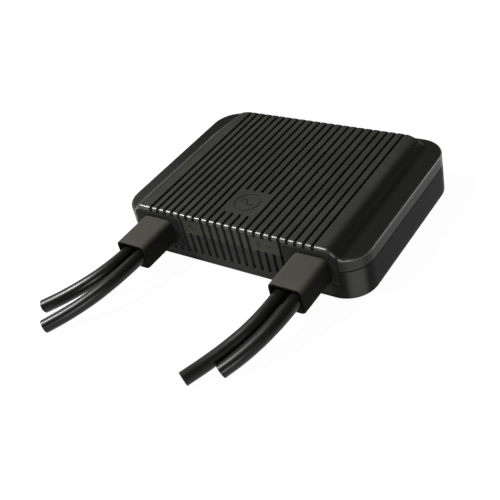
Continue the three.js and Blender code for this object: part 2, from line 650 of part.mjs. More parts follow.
const SPOOL = { radius: 6.5, waist: 2.5, flange: 1.5, height: 11 };
const WINDING_SETBACK = 0.4;        // from the rim of the spool
const chokeY = relayY + RELAY_SIZE[1] / 2 + PART_SPACING + SPOOL.radius;
const chokePlace = [LEFT_COLUMN, chokeY, PARTS_BOTTOM];
const spoolTop = SPOOL.height - SPOOL.flange;
place(electronics, 'output_choke_core', turned([
  [0, 0], [SPOOL.radius, 0], [SPOOL.radius, SPOOL.flange], [SPOOL.waist, SPOOL.flange],
  [SPOOL.waist, spoolTop], [SPOOL.radius, spoolTop], [SPOOL.radius, SPOOL.height],
  [0, SPOOL.height]]), FERRITE, chokePlace);
const windingInner = SPOOL.waist + GAP;
const windingOuter = SPOOL.radius - WINDING_SETBACK;
const windingBottom = SPOOL.flange + GAP;
const windingTop = spoolTop - GAP;
place(electronics, 'output_choke_winding', turned([
  [windingInner, windingBottom], [windingOuter, windingBottom], [windingOuter, windingTop],
  [windingInner, windingTop], [windingInner, windingBottom]]), COPPER, chokePlace);

const FILM_SIZE = [5, 13, 10];
const FILM_COUNT = 2;
const FILM_SPACING = 7;
const filmY = chokeY + SPOOL.radius + PART_SPACING + FILM_SIZE[1] / 2;
for (let index = 0; index < FILM_COUNT; index += 1) {
  place(electronics, `film_capacitor_${index + 1}`, block(...FILM_SIZE, 0, 0, 0), FILM_YELLOW,
    inRow(index, FILM_COUNT, FILM_SPACING, LEFT_COLUMN, filmY));
}

const CAPACITOR_RADIUS = 5;
const CAPACITOR_HEIGHT = TALLEST_PART - 0.5;
const CAPACITOR_COUNT = 4;
const CAPACITOR_SPACING = 11;
const CAPACITOR_ROUND = 0.5;        // rolled edges and the groove above the foot
const firstCapacitorY = firstRow + PART_SPACING + CAPACITOR_RADIUS;

function electrolytic() {
  const r = CAPACITOR_RADIUS;
  const round = CAPACITOR_ROUND;
  return turned([
    [0, 0], [r - round, 0], [r, round], [r, 3 * round], [r - round, 4 * round], [r, 5 * round],
    [r, CAPACITOR_HEIGHT - round], [r - round, CAPACITOR_HEIGHT], [0, CAPACITOR_HEIGHT]]);
}

for (let index = 0; index < CAPACITOR_COUNT; index += 1) {
  place(electronics, `input_capacitor_${index + 1}`, electrolytic(), CAPACITOR_SLEEVE,
    [RIGHT_COLUMN, firstCapacitorY + index * CAPACITOR_SPACING, PARTS_BOTTOM]);
}

const SWITCH_SIZE = [7, 6, 1.8];
const SWITCH_COUNT = 4;
const SWITCH_SPACING = 9;
const switchY = transformerY - CORE.depth / 2 - 2 * PART_SPACING - SWITCH_SIZE[1] / 2;
for (let index = 0; index < SWITCH_COUNT; index += 1) {
  place(electronics, `power_switch_${index + 1}`, block(...SWITCH_SIZE, 0, 0, 0), PACKAGE_BLACK,
    inRow(index, SWITCH_COUNT, SWITCH_SPACING, 0, switchY));
}

const CONTROLLER_SIZE = [10, 10, 1.4];
const SIGNAL_CAN_SIZE = [16, 12, 2.6];
const SIGNAL_SPACING = 20;
const controlY = switchY - SWITCH_SIZE[1] / 2 - 3 * PART_SPACING - SIGNAL_CAN_SIZE[1] / 2;
place(electronics, 'controller_chip', block(...CONTROLLER_SIZE, 0, 0, 0), PACKAGE_BLACK,
  inRow(0, 2, SIGNAL_SPACING, 0, controlY));
place(electronics, 'signal_module', block(...SIGNAL_CAN_SIZE, 0, 0, 0), ALUMINIUM,
  inRow(1, 2, SIGNAL_SPACING, 0, controlY));

export default inverter;
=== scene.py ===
"""Looks of a finned micro inverter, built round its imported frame.

Lengths in this file are millimetres unless a name says metres; `Skin.mesh` turns them into
metres at the end. The origin is the middle of the housing's underside, X runs along the front
face, the leads leave towards -Y, and Z is up.
"""

import logging
import math
from collections.abc import Callable, Sequence
from dataclasses import dataclass, field
from enum import Enum

import bmesh
import bpy
import numpy as np
from mathutils import Matrix, Vector


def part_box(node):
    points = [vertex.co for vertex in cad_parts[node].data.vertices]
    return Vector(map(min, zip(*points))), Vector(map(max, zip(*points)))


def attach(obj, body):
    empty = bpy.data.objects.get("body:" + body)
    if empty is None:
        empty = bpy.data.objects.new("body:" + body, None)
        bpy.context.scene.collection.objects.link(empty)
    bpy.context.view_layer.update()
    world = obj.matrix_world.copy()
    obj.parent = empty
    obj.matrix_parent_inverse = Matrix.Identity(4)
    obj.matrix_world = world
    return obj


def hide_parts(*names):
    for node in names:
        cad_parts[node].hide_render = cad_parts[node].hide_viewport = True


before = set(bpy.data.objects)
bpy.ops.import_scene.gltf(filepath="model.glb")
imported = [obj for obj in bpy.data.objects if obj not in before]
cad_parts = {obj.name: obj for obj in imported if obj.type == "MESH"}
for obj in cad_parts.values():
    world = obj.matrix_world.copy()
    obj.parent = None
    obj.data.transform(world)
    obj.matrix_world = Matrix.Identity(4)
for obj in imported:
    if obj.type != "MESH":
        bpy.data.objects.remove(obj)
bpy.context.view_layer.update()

log = logging.getLogger("micro_inverter")

MM = 0.001
Point = tuple[float, float, float]


class Side(Enum):
    """The two ends of the front face, by the sign of X."""

    LEFT = -1
    RIGHT = 1

    @property
    def word(self) -> str:
        """The side's name as it stands in the names of pieces.

        Returns:
            The side in lower case.
        """
        return self.name.lower()


class Grain(Enum):
    """How a moulded or coated surface breaks up the light."""

    SPARK = "spark"
    POWDER = "powder"
    SATIN = "satin"
    BRUSHED = "brushed"


# ---- node trees -----------------------------------------------------------------------------


class Nodes:
    """A thin hand for wiring one node tree."""

    def __init__(self, tree: bpy.types.NodeTree) -> None:
        """Start on a tree.

        Args:
            tree: shader or geometry node tree to add to.
        """
        self.tree = tree

    def add(self, kind: str, inputs: dict | None = None, **settings: object) -> bpy.types.Node:
        """Add a node.

        Args:
            kind: Blender's identifier of the node type.
            inputs: values or output sockets for the node's inputs, by name or number.
            **settings: attributes of the node, such as its operation.

        Returns:
            The new node.
        """
        node = self.tree.nodes.new(kind)
        for name, value in settings.items():
            setattr(node, name, value)
        for key, value in (inputs or {}).items():
            if isinstance(value, bpy.types.NodeSocket):
                self.tree.links.new(value, node.inputs[key])
            else:
                node.inputs[key].default_value = value
        return node

    def math(self, operation: str, *values: object) -> bpy.types.NodeSocket:
        """Add a Math node and return its result.

        Args:
            operation: the node's operation.
            *values: its inputs in order.

        Returns:
            The output socket.
        """
        inputs = dict(enumerate(values))
        return self.add("ShaderNodeMath", inputs, operation=operation).outputs[0]

    def ramp(
        self, value: bpy.types.NodeSocket, low: float, high: float,
        start: float = 0.0, end: float = 1.0, smooth: bool = False,
    ) -> bpy.types.NodeSocket:
        """Map a value from one range to another, held at its ends.

        Args:
            value: socket to map.
            low: value that gives start.
            high: value that gives end.
            start: result at low.
            end: result at high.
            smooth: whether the change eases in and out.

        Returns:
            The output socket.
        """
        inputs = {0: value, 1: low, 2: high, 3: start, 4: end}
        kind = "SMOOTHSTEP" if smooth else "LINEAR"
        return self.add("ShaderNodeMapRange", inputs, interpolation_type=kind).outputs[0]

    def noise(
        self, where: bpy.types.NodeSocket, size: float, detail: float = 2.0,
        roughness: float = 0.5,
    ) -> bpy.types.NodeSocket:
        """Add 3-D noise whose features are about `size` millimetres across.

        Args:
            where: coordinates in metres.
            size: feature size.
            detail: octaves.
            roughness: how strong the finer octaves are.

        Returns:
            The noise value, about 0.5 in the middle.
        """
        inputs = {"Vector": where, "Scale": 1.0 / (size * MM), "Detail": detail,
                  "Roughness": roughness}
        return self.add("ShaderNodeTexNoise", inputs).outputs["Fac"]

    def blend(self, factor: object, one: object, other: object) -> bpy.types.NodeSocket:
        """Mix two colours.

        Args:
            factor: share of the second colour.
            one: first colour or socket.
            other: second colour or socket.

        Returns:
            The colour socket.
        """
        node = self.add("ShaderNodeMix", data_type="RGBA")
        for socket, value in ((0, factor), (6, one), (7, other)):
            if isinstance(value, bpy.types.NodeSocket):
                self.tree.links.new(value, node.inputs[socket])
            else:
                node.inputs[socket].default_value = value
        return node.outputs[2]


def shade(level: float) -> tuple[float, ...]:
    """A grey of a given linear level.

    Args:
        level: linear brightness.

    Returns:
        The colour with an alpha of 1.
    """
    return (level, level, level, 1.0)


def place(name: str, data: bpy.types.ID) -> bpy.types.Object:
    """Put data into the scene as a new object.

    Args:
        name: name of the object.
        data: its mesh, camera or light.

    Returns:
        The object.
    """
    made = bpy.data.objects.new(name, data)
    bpy.context.scene.collection.objects.link(made)
    return made


def turns_of(sides: int) -> list[float]:
    """Angles of evenly spaced points on a circle.

    Args:
        sides: number of points.

    Returns:
        The angles in radians.
    """
    return [math.tau * step / sides for step in range(sides)]


# ---- finishes -------------------------------------------------------------------------------


@dataclass(frozen=True)
class Finish:
    """A surface finish: colour, gloss and the small relief that breaks up its reflections."""

    name: str
    colour: tuple[float, float, float]
    roughness: float
    grain: Grain = Grain.SATIN
    metallic: float = 0.0
    specular: float = 0.5
    grain_size: float = 0.25
    grain_depth: float = 0.012
    mottle: float = 0.12
    coat: float = 0.0
    ior: float = 1.5
    # painted shading of the upright faces: below 1 is painted shade, above 1 is painted light
    painted_wall_shading: float = 1.0
    # strength of the painted highlight on the upright corners
    corners: float = 0.0

    def material(self) -> bpy.types.Material:
        """Build the finish as a procedural material, once.

        Returns:
            The material.
        """
        title = f"{self.name}_finish"
        found = bpy.data.materials.get(title)
        if found:
            return found
        made = bpy.data.materials.new(title)
        made.use_nodes = True
        made.diffuse_color = (*self.colour, 1.0)
        nodes = Nodes(made.node_tree)
        shader = made.node_tree.nodes["Principled BSDF"]
        shader.inputs["Metallic"].default_value = self.metallic
        shader.inputs["Specular IOR Level"].default_value = self.specular
        shader.inputs["Coat Weight"].default_value = self.coat
        shader.inputs["IOR"].default_value = self.ior
        where = nodes.add("ShaderNodeTexCoord").outputs["Object"]
        self.dress(nodes, shader, where)
        return made

    def dress(
        self, nodes: Nodes, shader: bpy.types.Node, where: bpy.types.NodeSocket
    ) -> None:
        """Wire colour, roughness and relief into the shader.

        Args:
            nodes: the material's tree.
            shader: its Principled BSDF.
            where: object coordinates in metres.
        """
        links = nodes.tree.links
        links.new(self.painted_light_by_facing(nodes, self.tone(nodes, where)), shader.inputs["Base Color"])
        wear = nodes.noise(where, 14.0, 4.0, 0.6)
        rough = nodes.ramp(wear, 0.3, 0.7, self.roughness * 0.9, min(1.0, self.roughness * 1.1))
        links.new(rough, shader.inputs["Roughness"])
        links.new(self.relief(nodes, where), shader.inputs["Normal"])

    def tone(self, nodes: Nodes, where: bpy.types.NodeSocket) -> bpy.types.NodeSocket:
        """The colour with its slow drift and fine mottle.

        Args:
            nodes: the material's tree.
            where: object coordinates in metres.

        Returns:
            The colour socket.
        """
        dark = (*(part * (1.0 - self.mottle) for part in self.colour), 1.0)
        light = (*(part * (1.0 + self.mottle) for part in self.colour), 1.0)
        slow = nodes.noise(where, 22.0, 3.0, 0.55)
        fine = nodes.noise(where, 1.6 * self.grain_size, 1.0)
        share = nodes.math("ADD", nodes.math("MULTIPLY", slow, 0.6),
                           nodes.math("MULTIPLY", fine, 0.4))
        return nodes.blend(nodes.ramp(share, 0.35, 0.65), dark, light)

    def painted_light_by_facing(
        self, nodes: Nodes, tone: bpy.types.NodeSocket | tuple[float, float, float]
    ) -> bpy.types.NodeSocket:
        """Paint light and shade by facing: scale the tone of the upright faces, below 1 as
        painted shade and above 1 as painted light, and add a painted highlight on the upright
        corners.

        Args:
            nodes: the material's tree.
            tone: the colour so far.

        Returns:
            The colour socket.
        """
        if self.painted_wall_shading == 1.0 and not self.corners:
            return tone
        facing = nodes.add("ShaderNodeTexCoord").outputs["Normal"]
        split = nodes.add("ShaderNodeSeparateXYZ", {0: facing}).outputs
        # painted shade and painted light on the upright faces, by how far the normal points up
        level = nodes.ramp(split[2], 0.25, 0.9, self.painted_wall_shading, 1.0)
        # painted highlight where the normal points between X and Y, on the upright corners
        diagonal = nodes.math("ABSOLUTE", nodes.math("MULTIPLY", split[0], split[1]))
        corner = nodes.ramp(diagonal, 0.34, 0.50, 0.0, self.corners, smooth=True)
        share = nodes.math("ADD", level, corner)
        return nodes.add("ShaderNodeVectorMath", {0: tone, "Scale": share},
                         operation="SCALE").outputs["Vector"]

    def relief(self, nodes: Nodes, where: bpy.types.NodeSocket) -> bpy.types.NodeSocket:
        """The fine relief for the finish's kind of grain.

        Args:
            nodes: the material's tree.
            where: object coordinates in metres.

        Returns:
            The normal socket.
        """
        stretch = (1.0, 1.0, 1.0)
        if self.grain is Grain.BRUSHED:
            stretch = (1.0, 0.04, 1.0)
        placed = nodes.add("ShaderNodeMapping", {"Vector": where, "Scale": stretch}).outputs[0]
        if self.grain is Grain.SPARK:
            cells = nodes.add("ShaderNodeTexVoronoi", {
                "Vector": placed, "Scale": 1.0 / (self.grain_size * MM)},
                feature="SMOOTH_F1").outputs["Distance"]
            height = nodes.math("ADD", cells, nodes.noise(placed, 0.5 * self.grain_size, 1.0))
        elif self.grain is Grain.POWDER:
            height = nodes.noise(placed, self.grain_size, 3.0, 0.65)
        else:
            height = nodes.noise(placed, self.grain_size, 2.0)
        depth = self.grain_depth * MM
        return nodes.add("ShaderNodeBump", {
            "Height": height, "Distance": depth, "Strength": 0.8}).outputs[0]


@dataclass(frozen=True)
class HousingFinish(Finish):
    """Moulded housing: the ribbed field is spark-grained, the smooth ends are satin."""

    smooth_colour: tuple[float, float, float] = (0.0075, 0.0075, 0.0068)
    smooth_roughness: float = 0.24
    field_edge: float = 45.5
    field_fade: float = 4.5
    dust: float = 0.25
    edge_specular: float = 0.55
    edge_roughness: float = 0.33
    edge_width: float = 1.2
    outline: tuple[float, float, float] = (49.0, 32.0, 13.0)
    lip_levels: tuple[float, float] = (23.75, 19.55)
    lip_run: tuple[float, float] = (48.0, 54.0)

    def dress(
        self, nodes: Nodes, shader: bpy.types.Node, where: bpy.types.NodeSocket
    ) -> None:
        """Wire the grained field and the satin ends into one shader.

        Args:
            nodes: the material's tree.
            shader: its Principled BSDF.
            where: object coordinates in metres.
        """
        links = nodes.tree.links
        across = nodes.add("ShaderNodeSeparateXYZ", {0: where}).outputs[0]
        glossy = self.glossy_edge(nodes, where)
        edge = self.field_edge * MM
        ends = nodes.ramp(nodes.math("ABSOLUTE", across), edge,
                          edge + self.field_fade * MM, smooth=True)
        smudge = nodes.ramp(nodes.noise(where, 9.0, 4.0, 0.65), 0.5, 0.75)
        field_tone = self.tone(nodes, where)
        dusted = nodes.blend(
            nodes.math("MULTIPLY", smudge, self.dust), field_tone,
            (*(1.7 * part for part in self.colour), 1.0))
        # the smooth ends carry the painted wall shading and the painted corner highlight
        smooth_tone = self.painted_light_by_facing(nodes, self.smooth_colour)
        links.new(nodes.blend(ends, dusted, smooth_tone), shader.inputs["Base Color"])
        field_rough = nodes.ramp(smudge, 0.0, 1.0, self.roughness, self.roughness * 1.15)
        rough = nodes.add("ShaderNodeMix", {0: ends, 2: field_rough, 3: self.smooth_roughness},
                          data_type="FLOAT").outputs[0]
        rough = nodes.add("ShaderNodeMix", {0: glossy, 2: rough, 3: self.edge_roughness},
                          data_type="FLOAT").outputs[0]
        links.new(rough, shader.inputs["Roughness"])
        shine = nodes.ramp(glossy, 0.0, 1.0, self.specular, self.edge_specular)
        links.new(shine, shader.inputs["Specular IOR Level"])
        grained = self.relief(nodes, where)
        calm = nodes.add("ShaderNodeBump", {
            "Height": nodes.noise(where, 0.6, 2.0), "Distance": 0.004 * MM,
            "Strength": 0.6}).outputs[0]
        mixed = nodes.add("ShaderNodeMix", {0: ends, 4: grained, 5: calm},
                          data_type="VECTOR").outputs[1]
        links.new(mixed, shader.inputs["Normal"])

    def glossy_edge(self, nodes: Nodes, where: bpy.types.NodeSocket) -> bpy.types.NodeSocket:
        """Where the rounded top edge is glossier than the faces beside it.

        Args:
            nodes: the material's tree.
            where: object coordinates in metres.

        Returns:
            A socket that is 1 on the edge and 0 elsewhere.
        """
        split = nodes.add("ShaderNodeSeparateXYZ", {0: where}).outputs
        away = [nodes.math("ABSOLUTE", split[axis]) for axis in (0, 1)]
        past = [nodes.math("MAXIMUM", nodes.math("SUBTRACT", value, limit * MM), 0.0)
                for value, limit in zip(away, self.outline[:2])]
        squares = [nodes.math("MULTIPLY", value, value) for value in past]
        reach = nodes.math("SQRT", nodes.math("ADD", *squares))
        radius = self.outline[2]
        near = nodes.ramp(reach, (radius - self.edge_width) * MM,
                          (radius - self.edge_width + 0.2) * MM)
        start, end = (value * MM for value in self.lip_run)
        high, low = (level * MM for level in self.lip_levels)
        level = nodes.ramp(away[0], start, end, high, low, smooth=True)
        above = nodes.math("SUBTRACT", split[2], level)
        return nodes.math("MULTIPLY", near, nodes.ramp(above, 0.0, 0.15 * MM))


# the cover's upright faces are lightened as painted light, and both halves carry a painted
# highlight on their upright corners
COVER_PAINT = HousingFinish(
    "cover_paint", (0.022, 0.022, 0.019), 0.50, Grain.SPARK, grain_size=0.30,
    grain_depth=0.030, mottle=0.16, specular=0.08, smooth_colour=(0.009, 0.009, 0.0082),
    painted_wall_shading=1.7, corners=2.5)
BASE_PAINT = HousingFinish(
    "base_paint", (0.018, 0.018, 0.0175), 0.50, Grain.SPARK, grain_size=0.30,
    grain_depth=0.020, mottle=0.12, specular=0.05, smooth_colour=(0.0088, 0.0088, 0.0084),
    ior=1.3, corners=4.8, smooth_roughness=0.38)
PLATE_PLASTIC = Finish(
    "plate_plastic", (0.010, 0.010, 0.0095), 0.48, Grain.POWDER, grain_size=0.35,
    grain_depth=0.012, specular=0.06, ior=1.3)
# the boot's upright sides are darkened to about a fifth as painted shade, so its top reads
# lighter
BOOT_RUBBER = Finish(
    "boot_rubber", (0.042, 0.041, 0.035), 0.55, Grain.POWDER, grain_size=0.5,
    grain_depth=0.008, mottle=0.05, specular=0.03, ior=1.2, painted_wall_shading=0.22)
LEAD_JACKET = Finish(
    "lead_jacket", (0.0045, 0.0045, 0.004), 0.33, Grain.POWDER, grain_size=0.7,
    grain_depth=0.008, mottle=0.15, specular=0.22)
LEAD_CORE = Finish(
    "lead_core", (0.016, 0.015, 0.014), 0.62, Grain.POWDER, grain_size=0.4, grain_depth=0.02)
GASKET_RUBBER = Finish(
    "gasket_rubber", (0.008, 0.0075, 0.007), 0.7, Grain.POWDER, grain_depth=0.008)
NYLON = Finish("nylon", (0.62, 0.60, 0.54), 0.45, Grain.SATIN, grain_size=0.8)
SCREW_STEEL = Finish(
    "screw_steel", (0.50, 0.50, 0.49), 0.30, Grain.BRUSHED, metallic=1.0, grain_size=0.2,
    grain_depth=0.004, mottle=0.06)
BOARD_LAMINATE = Finish(
    "board_laminate", (0.012, 0.10, 0.035), 0.38, Grain.POWDER, grain_size=0.6, coat=0.3)
BARE_ALUMINIUM = Finish(
    "bare_aluminium", (0.80, 0.80, 0.81), 0.34, Grain.BRUSHED, metallic=1.0, grain_size=0.3,
    grain_depth=0.006, mottle=0.04)
TINNED_CAN = Finish(
    "tinned_can", (0.72, 0.72, 0.70), 0.28, Grain.BRUSHED, metallic=1.0, grain_size=0.5,
    grain_depth=0.004, mottle=0.05)
THERMAL_PAD = Finish(
    "thermal_pad", (0.36, 0.42, 0.50), 0.75, Grain.POWDER, grain_size=0.4, grain_depth=0.02)
FERRITE = Finish(
    "ferrite", (0.035, 0.035, 0.037), 0.55, Grain.POWDER, grain_size=0.3, grain_depth=0.02)
COPPER_WIRE = Finish(
    "copper_wire", (0.62, 0.25, 0.10), 0.26, Grain.SATIN, metallic=0.9, grain_size=0.4,
    mottle=0.10, coat=0.5)
CAPACITOR_SLEEVE = Finish(
    "capacitor_sleeve", (0.015, 0.02, 0.055), 0.28, Grain.SATIN, grain_size=1.2, coat=0.4)
FILM_CASE = Finish(
    "film_case", (0.60, 0.38, 0.05), 0.40, Grain.SATIN, grain_size=0.7)
RELAY_CASE = Finish("relay_case", (0.02, 0.02, 0.022), 0.35, Grain.SATIN, grain_size=0.6)
CHIP_PACKAGE = Finish(
    "chip_package", (0.018, 0.018, 0.019), 0.6, Grain.SPARK, grain_size=0.15)
TERMINAL_PLASTIC = Finish(
    "terminal_plastic", (0.03, 0.22, 0.09), 0.42, Grain.POWDER, grain_size=0.5)

# The finish of each node that keeps its own shape, by the start of its name.
KEPT_NODES: dict[str, Finish] = {
    "cover_gasket": GASKET_RUBBER, "front_gasket": GASKET_RUBBER,
    "left_cable_clamp": NYLON, "right_cable_clamp": NYLON,
    "circuit_board": BOARD_LAMINATE, "board_screw": SCREW_STEEL,
    "heat_spreader": BARE_ALUMINIUM, "thermal_pad": THERMAL_PAD,
    "transformer_core": FERRITE, "transformer_bobbin": NYLON,
    "output_choke_core": FERRITE, "input_capacitor": CAPACITOR_SLEEVE,
    "film_capacitor": FILM_CASE, "grid_relay": RELAY_CASE,
    "power_switch": CHIP_PACKAGE, "controller_chip": CHIP_PACKAGE,
    "signal_module": TINNED_CAN, "left_terminal_block": TERMINAL_PLASTIC,
    "right_terminal_block": TERMINAL_PLASTIC,
}


# ---- meshes ---------------------------------------------------------------------------------


@dataclass
class Skin:
    """Points and faces of one piece while it is being made, in millimetres."""

    points: list[Point] = field(default_factory=list)
    faces: list[tuple[int, ...]] = field(default_factory=list)

    def row(self, points: Sequence[Sequence[float]]) -> list[int]:
        """Add a row of points and return their numbers.

        Args:
            points: places of the points.

        Returns:
            The numbers of the new points.
        """
        first = len(self.points)
        self.points.extend(tuple(float(part) for part in point) for point in points)
        return list(range(first, len(self.points)))

    def strip(self, one: Sequence[int], other: Sequence[int], closed: bool = True) -> None:
        """Join two rows of equal length with four-sided faces.

        Args:
            one: numbers of the first row.
            other: numbers of the second row.
            closed: whether the rows are loops.
        """
        count = len(one)
        for index in range(count if closed else count - 1):
            after = (index + 1) % count
            self.faces.append((one[index], one[after], other[after], other[index]))

    def cap(self, loop: Sequence[int]) -> None:
        """Close a loop with one face.

        Args:
            loop: numbers of its points.
        """
        self.faces.append(tuple(loop))

    def join(self, rows: Sequence[Sequence[int]], closed: bool = True) -> None:
        """Join each row to the next.

        Args:
            rows: rows of point numbers, all equally long.
            closed: whether the rows are loops.
        """
        for one, other in zip(rows, rows[1:]):
            self.strip(one, other, closed)

    def loft(self, rows: Sequence[Sequence[int]]) -> None:
        """Join loops one to the next and close both ends.

        Args:
            rows: loops of point numbers, all equally long.
        """
        self.join(rows)
        self.cap(rows[0][::-1])
        self.cap(rows[-1])

    def mesh(
        self, name: str, marks: dict[str, tuple[str, str, Sequence]] | None = None
    ) -> bpy.types.Object:
        """Turn the points and faces into a closed, outward-facing mesh in metres.

        Args:
            name: name of the object and its mesh.
            marks: point attributes, each as its type, its field and its values.

        Returns:
            The new object, in the scene.
        """
        data = bpy.data.meshes.new(name)
        data.from_pydata([tuple(part * MM for part in point) for point in self.points],
                         [], self.faces)
        for title, (kind, part, values) in (marks or {}).items():
            mark = data.attributes.new(title, kind, "POINT")
            mark.data.foreach_set(part, np.array(values, np.float32).ravel())
        shaped = bmesh.new()
        shaped.from_mesh(data)
        bmesh.ops.remove_doubles(shaped, verts=shaped.verts, dist=1e-7)
        bmesh.ops.recalc_face_normals(shaped, faces=shaped.faces)
        shaped.to_mesh(data)
        shaped.free()
        data.update()
        return place(name, data)


def smooth(piece: bpy.types.Object, crease: float = 32.0) -> None:
    """Shade a piece smooth, with sharp edges where faces turn by more than the crease.

    Args:
        piece: mesh object.
        crease: angle in degrees.
    """
    piece.data.shade_smooth()
    piece.data.set_sharp_from_angle(angle=math.radians(crease))


def carve(piece: bpy.types.Object, tool: bpy.types.Object, operation: str) -> None:
    """Apply a boolean with another mesh to a piece, and remove the other mesh.

    Args:
        piece: mesh object that changes.
        tool: mesh object that is cut away or added.
        operation: DIFFERENCE or UNION.
    """
    step = piece.modifiers.new("carve", "BOOLEAN")
    step.operation = operation
    step.solver = "EXACT"
    step.object = tool
    settle(piece)
    bpy.data.objects.remove(tool)


def settle(piece: bpy.types.Object) -> None:
    """Turn a piece's modifiers into plain mesh and remove them.

    Args:
        piece: mesh object with modifiers.
    """
    graph = bpy.context.evaluated_depsgraph_get()
    graph.update()
    plain = bpy.data.meshes.new_from_object(piece.evaluated_get(graph))
    piece.modifiers.clear()
    old = piece.data
    piece.data = plain
    bpy.data.meshes.remove(old)
    plain.name = piece.name


def finish_piece(
    piece: bpy.types.Object, slot: str, nodes: Sequence[str], finish: Finish | None
) -> None:
    """Give a finished piece its material, its place on the body and what it stands for.

    Args:
        piece: mesh object at the origin.
        slot: the record's material slot; not used.
        nodes: CAD nodes that the piece replaces.
        finish: finish for its first material slot, or None where it has its own.
    """
    if finish is not None:
        piece.data.materials.clear()
        piece.data.materials.append(finish.material())
    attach(piece, "root")
    if nodes:
        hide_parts(*nodes)
    log.info("%s: %d faces, stands for %s", piece.name, len(piece.data.polygons),
             ", ".join(nodes) or "nothing")


def rounded_loop(
    width: float, height: float, radius: float, centre: tuple[float, float], steps: int = 8
) -> list[tuple[float, float]]:
    """Corner points of a rounded rectangle, counter-clockwise.

    Args:
        width: along the first axis.
        height: along the second axis.
        radius: corner radius.
        centre: middle of the rectangle.
        steps: segments in each corner.

    Returns:
        The points of the loop.
    """
    loop = []
    for quarter, (sign_x, sign_y) in enumerate(((1, 1), (-1, 1), (-1, -1), (1, -1))):
        middle_x = centre[0] + sign_x * (width / 2 - radius)
        middle_y = centre[1] + sign_y * (height / 2 - radius)
        for step in range(steps + 1):
            angle = math.pi / 2 * (quarter + step / steps)
            loop.append((middle_x + radius * math.cos(angle),
                         middle_y + radius * math.sin(angle)))
    return loop


def ribbon(
    skin: Skin, line: Sequence[tuple[float, float]], width: float, low: float, high: float,
    put: Callable[[float, float, float], Point], closed: bool = False,
) -> None:
    """Add a stroke of even width along a flat line, raised between two levels.

    Args:
        skin: mesh to add to.
        line: points of the line.
        width: width of the stroke.
        low: first level.
        high: second level.
        put: places a flat point and a level in space.
        closed: whether the line is a loop.
    """
    count = len(line)
    sides: tuple[list, list] = ([], [])
    for index, (u, v) in enumerate(line):
        before = line[index - 1] if closed or index else line[0]
        after = line[(index + 1) % count] if closed or index < count - 1 else line[-1]
        along = math.hypot(after[0] - before[0], after[1] - before[1])
        off = (-(after[1] - before[1]) / along * width / 2,
               (after[0] - before[0]) / along * width / 2)
        sides[0].append((u + off[0], v + off[1]))
        sides[1].append((u - off[0], v - off[1]))
    corners = ((0, low), (1, low), (1, high), (0, high))
    rows = [skin.row([put(u, v, level) for u, v in sides[side]]) for side, level in corners]
    skin.join([*rows, rows[0]], closed)
    if not closed:
        skin.cap([row[0] for row in rows])
        skin.cap([row[-1] for row in reversed(rows)])


def prism(
    skin: Skin, outline: Sequence[tuple[float, float]], low: float, high: float,
    put: Callable[[float, float, float], Point],
) -> None:
    """Add a flat outline raised between two levels.

    Args:
        skin: mesh to add to.
        outline: corner points.
        low: first level.
        high: second level.
        put: places a flat point and a level in space.
    """
    rows = [skin.row([put(u, v, level) for u, v in outline]) for level in (low, high)]
    skin.loft(rows)


def pins(
    name: str, places: Sequence[tuple[float, float]], radius: float, bottom: float, top: float,
    sides: int = 32,
) -> bpy.types.Object:
    """Upright round bars as one mesh, for cutting or adding.

    Args:
        name: name of the object.
        places: x and y of each bar.
        radius: radius of the bars.
        bottom: lower end.
        top: upper end.
        sides: sides of each bar.

    Returns:
        The mesh object.
    """
    skin = Skin()
    turns = turns_of(sides)
    for x, y in places:
        skin.loft([skin.row([(x + radius * math.cos(t), y + radius * math.sin(t), z)
                             for t in turns]) for z in (bottom, top)])
    return skin.mesh(name)


# ---- geometry-node trees --------------------------------------------------------------------


class Tree:
    """A geometry-node tree with named inputs for its sizes."""

    def __init__(self, name: str, sizes: dict[str, float]) -> None:
        """Make an empty tree.

        Args:
            name: name of the tree.
            sizes: inputs and their values, in metres or plain numbers.
        """
        self.group = bpy.data.node_groups.new(name, "GeometryNodeTree")
        self.sizes = sizes
        face = self.group.interface
        face.new_socket("Mesh", in_out="INPUT", socket_type="NodeSocketGeometry")
        for size in sizes:
            face.new_socket(size, in_out="INPUT", socket_type="NodeSocketFloat")
        face.new_socket("Material", in_out="INPUT", socket_type="NodeSocketMaterial")
        face.new_socket("Mesh", in_out="OUTPUT", socket_type="NodeSocketGeometry")
        self.nodes = Nodes(self.group)
        self.inside = self.nodes.add("NodeGroupInput").outputs

    def end(self, shape: bpy.types.NodeSocket) -> None:
        """Realize the instances, set the material and send the result out.

        Args:
            shape: geometry to send.
        """
        real = self.nodes.add("GeometryNodeRealizeInstances", {0: shape}).outputs[0]
        dressed = self.nodes.add("GeometryNodeSetMaterial", {
            "Geometry": real, "Material": self.inside["Material"]}).outputs[0]
        self.nodes.add("NodeGroupOutput", {0: dressed})

    def run(self, piece: bpy.types.Object, finish: Finish) -> None:
        """Run the tree on a piece and keep the result as its plain mesh.

        Args:
            piece: mesh object that the tree works on.
            finish: finish for the result.
        """
        step = piece.modifiers.new(self.group.name, "NODES")
        step.node_group = self.group
        for item in self.group.interface.items_tree:
            if item.in_out != "INPUT" or item.name == "Mesh":
                continue
            step[item.identifier] = (
                finish.material() if item.name == "Material" else self.sizes[item.name])
        settle(piece)


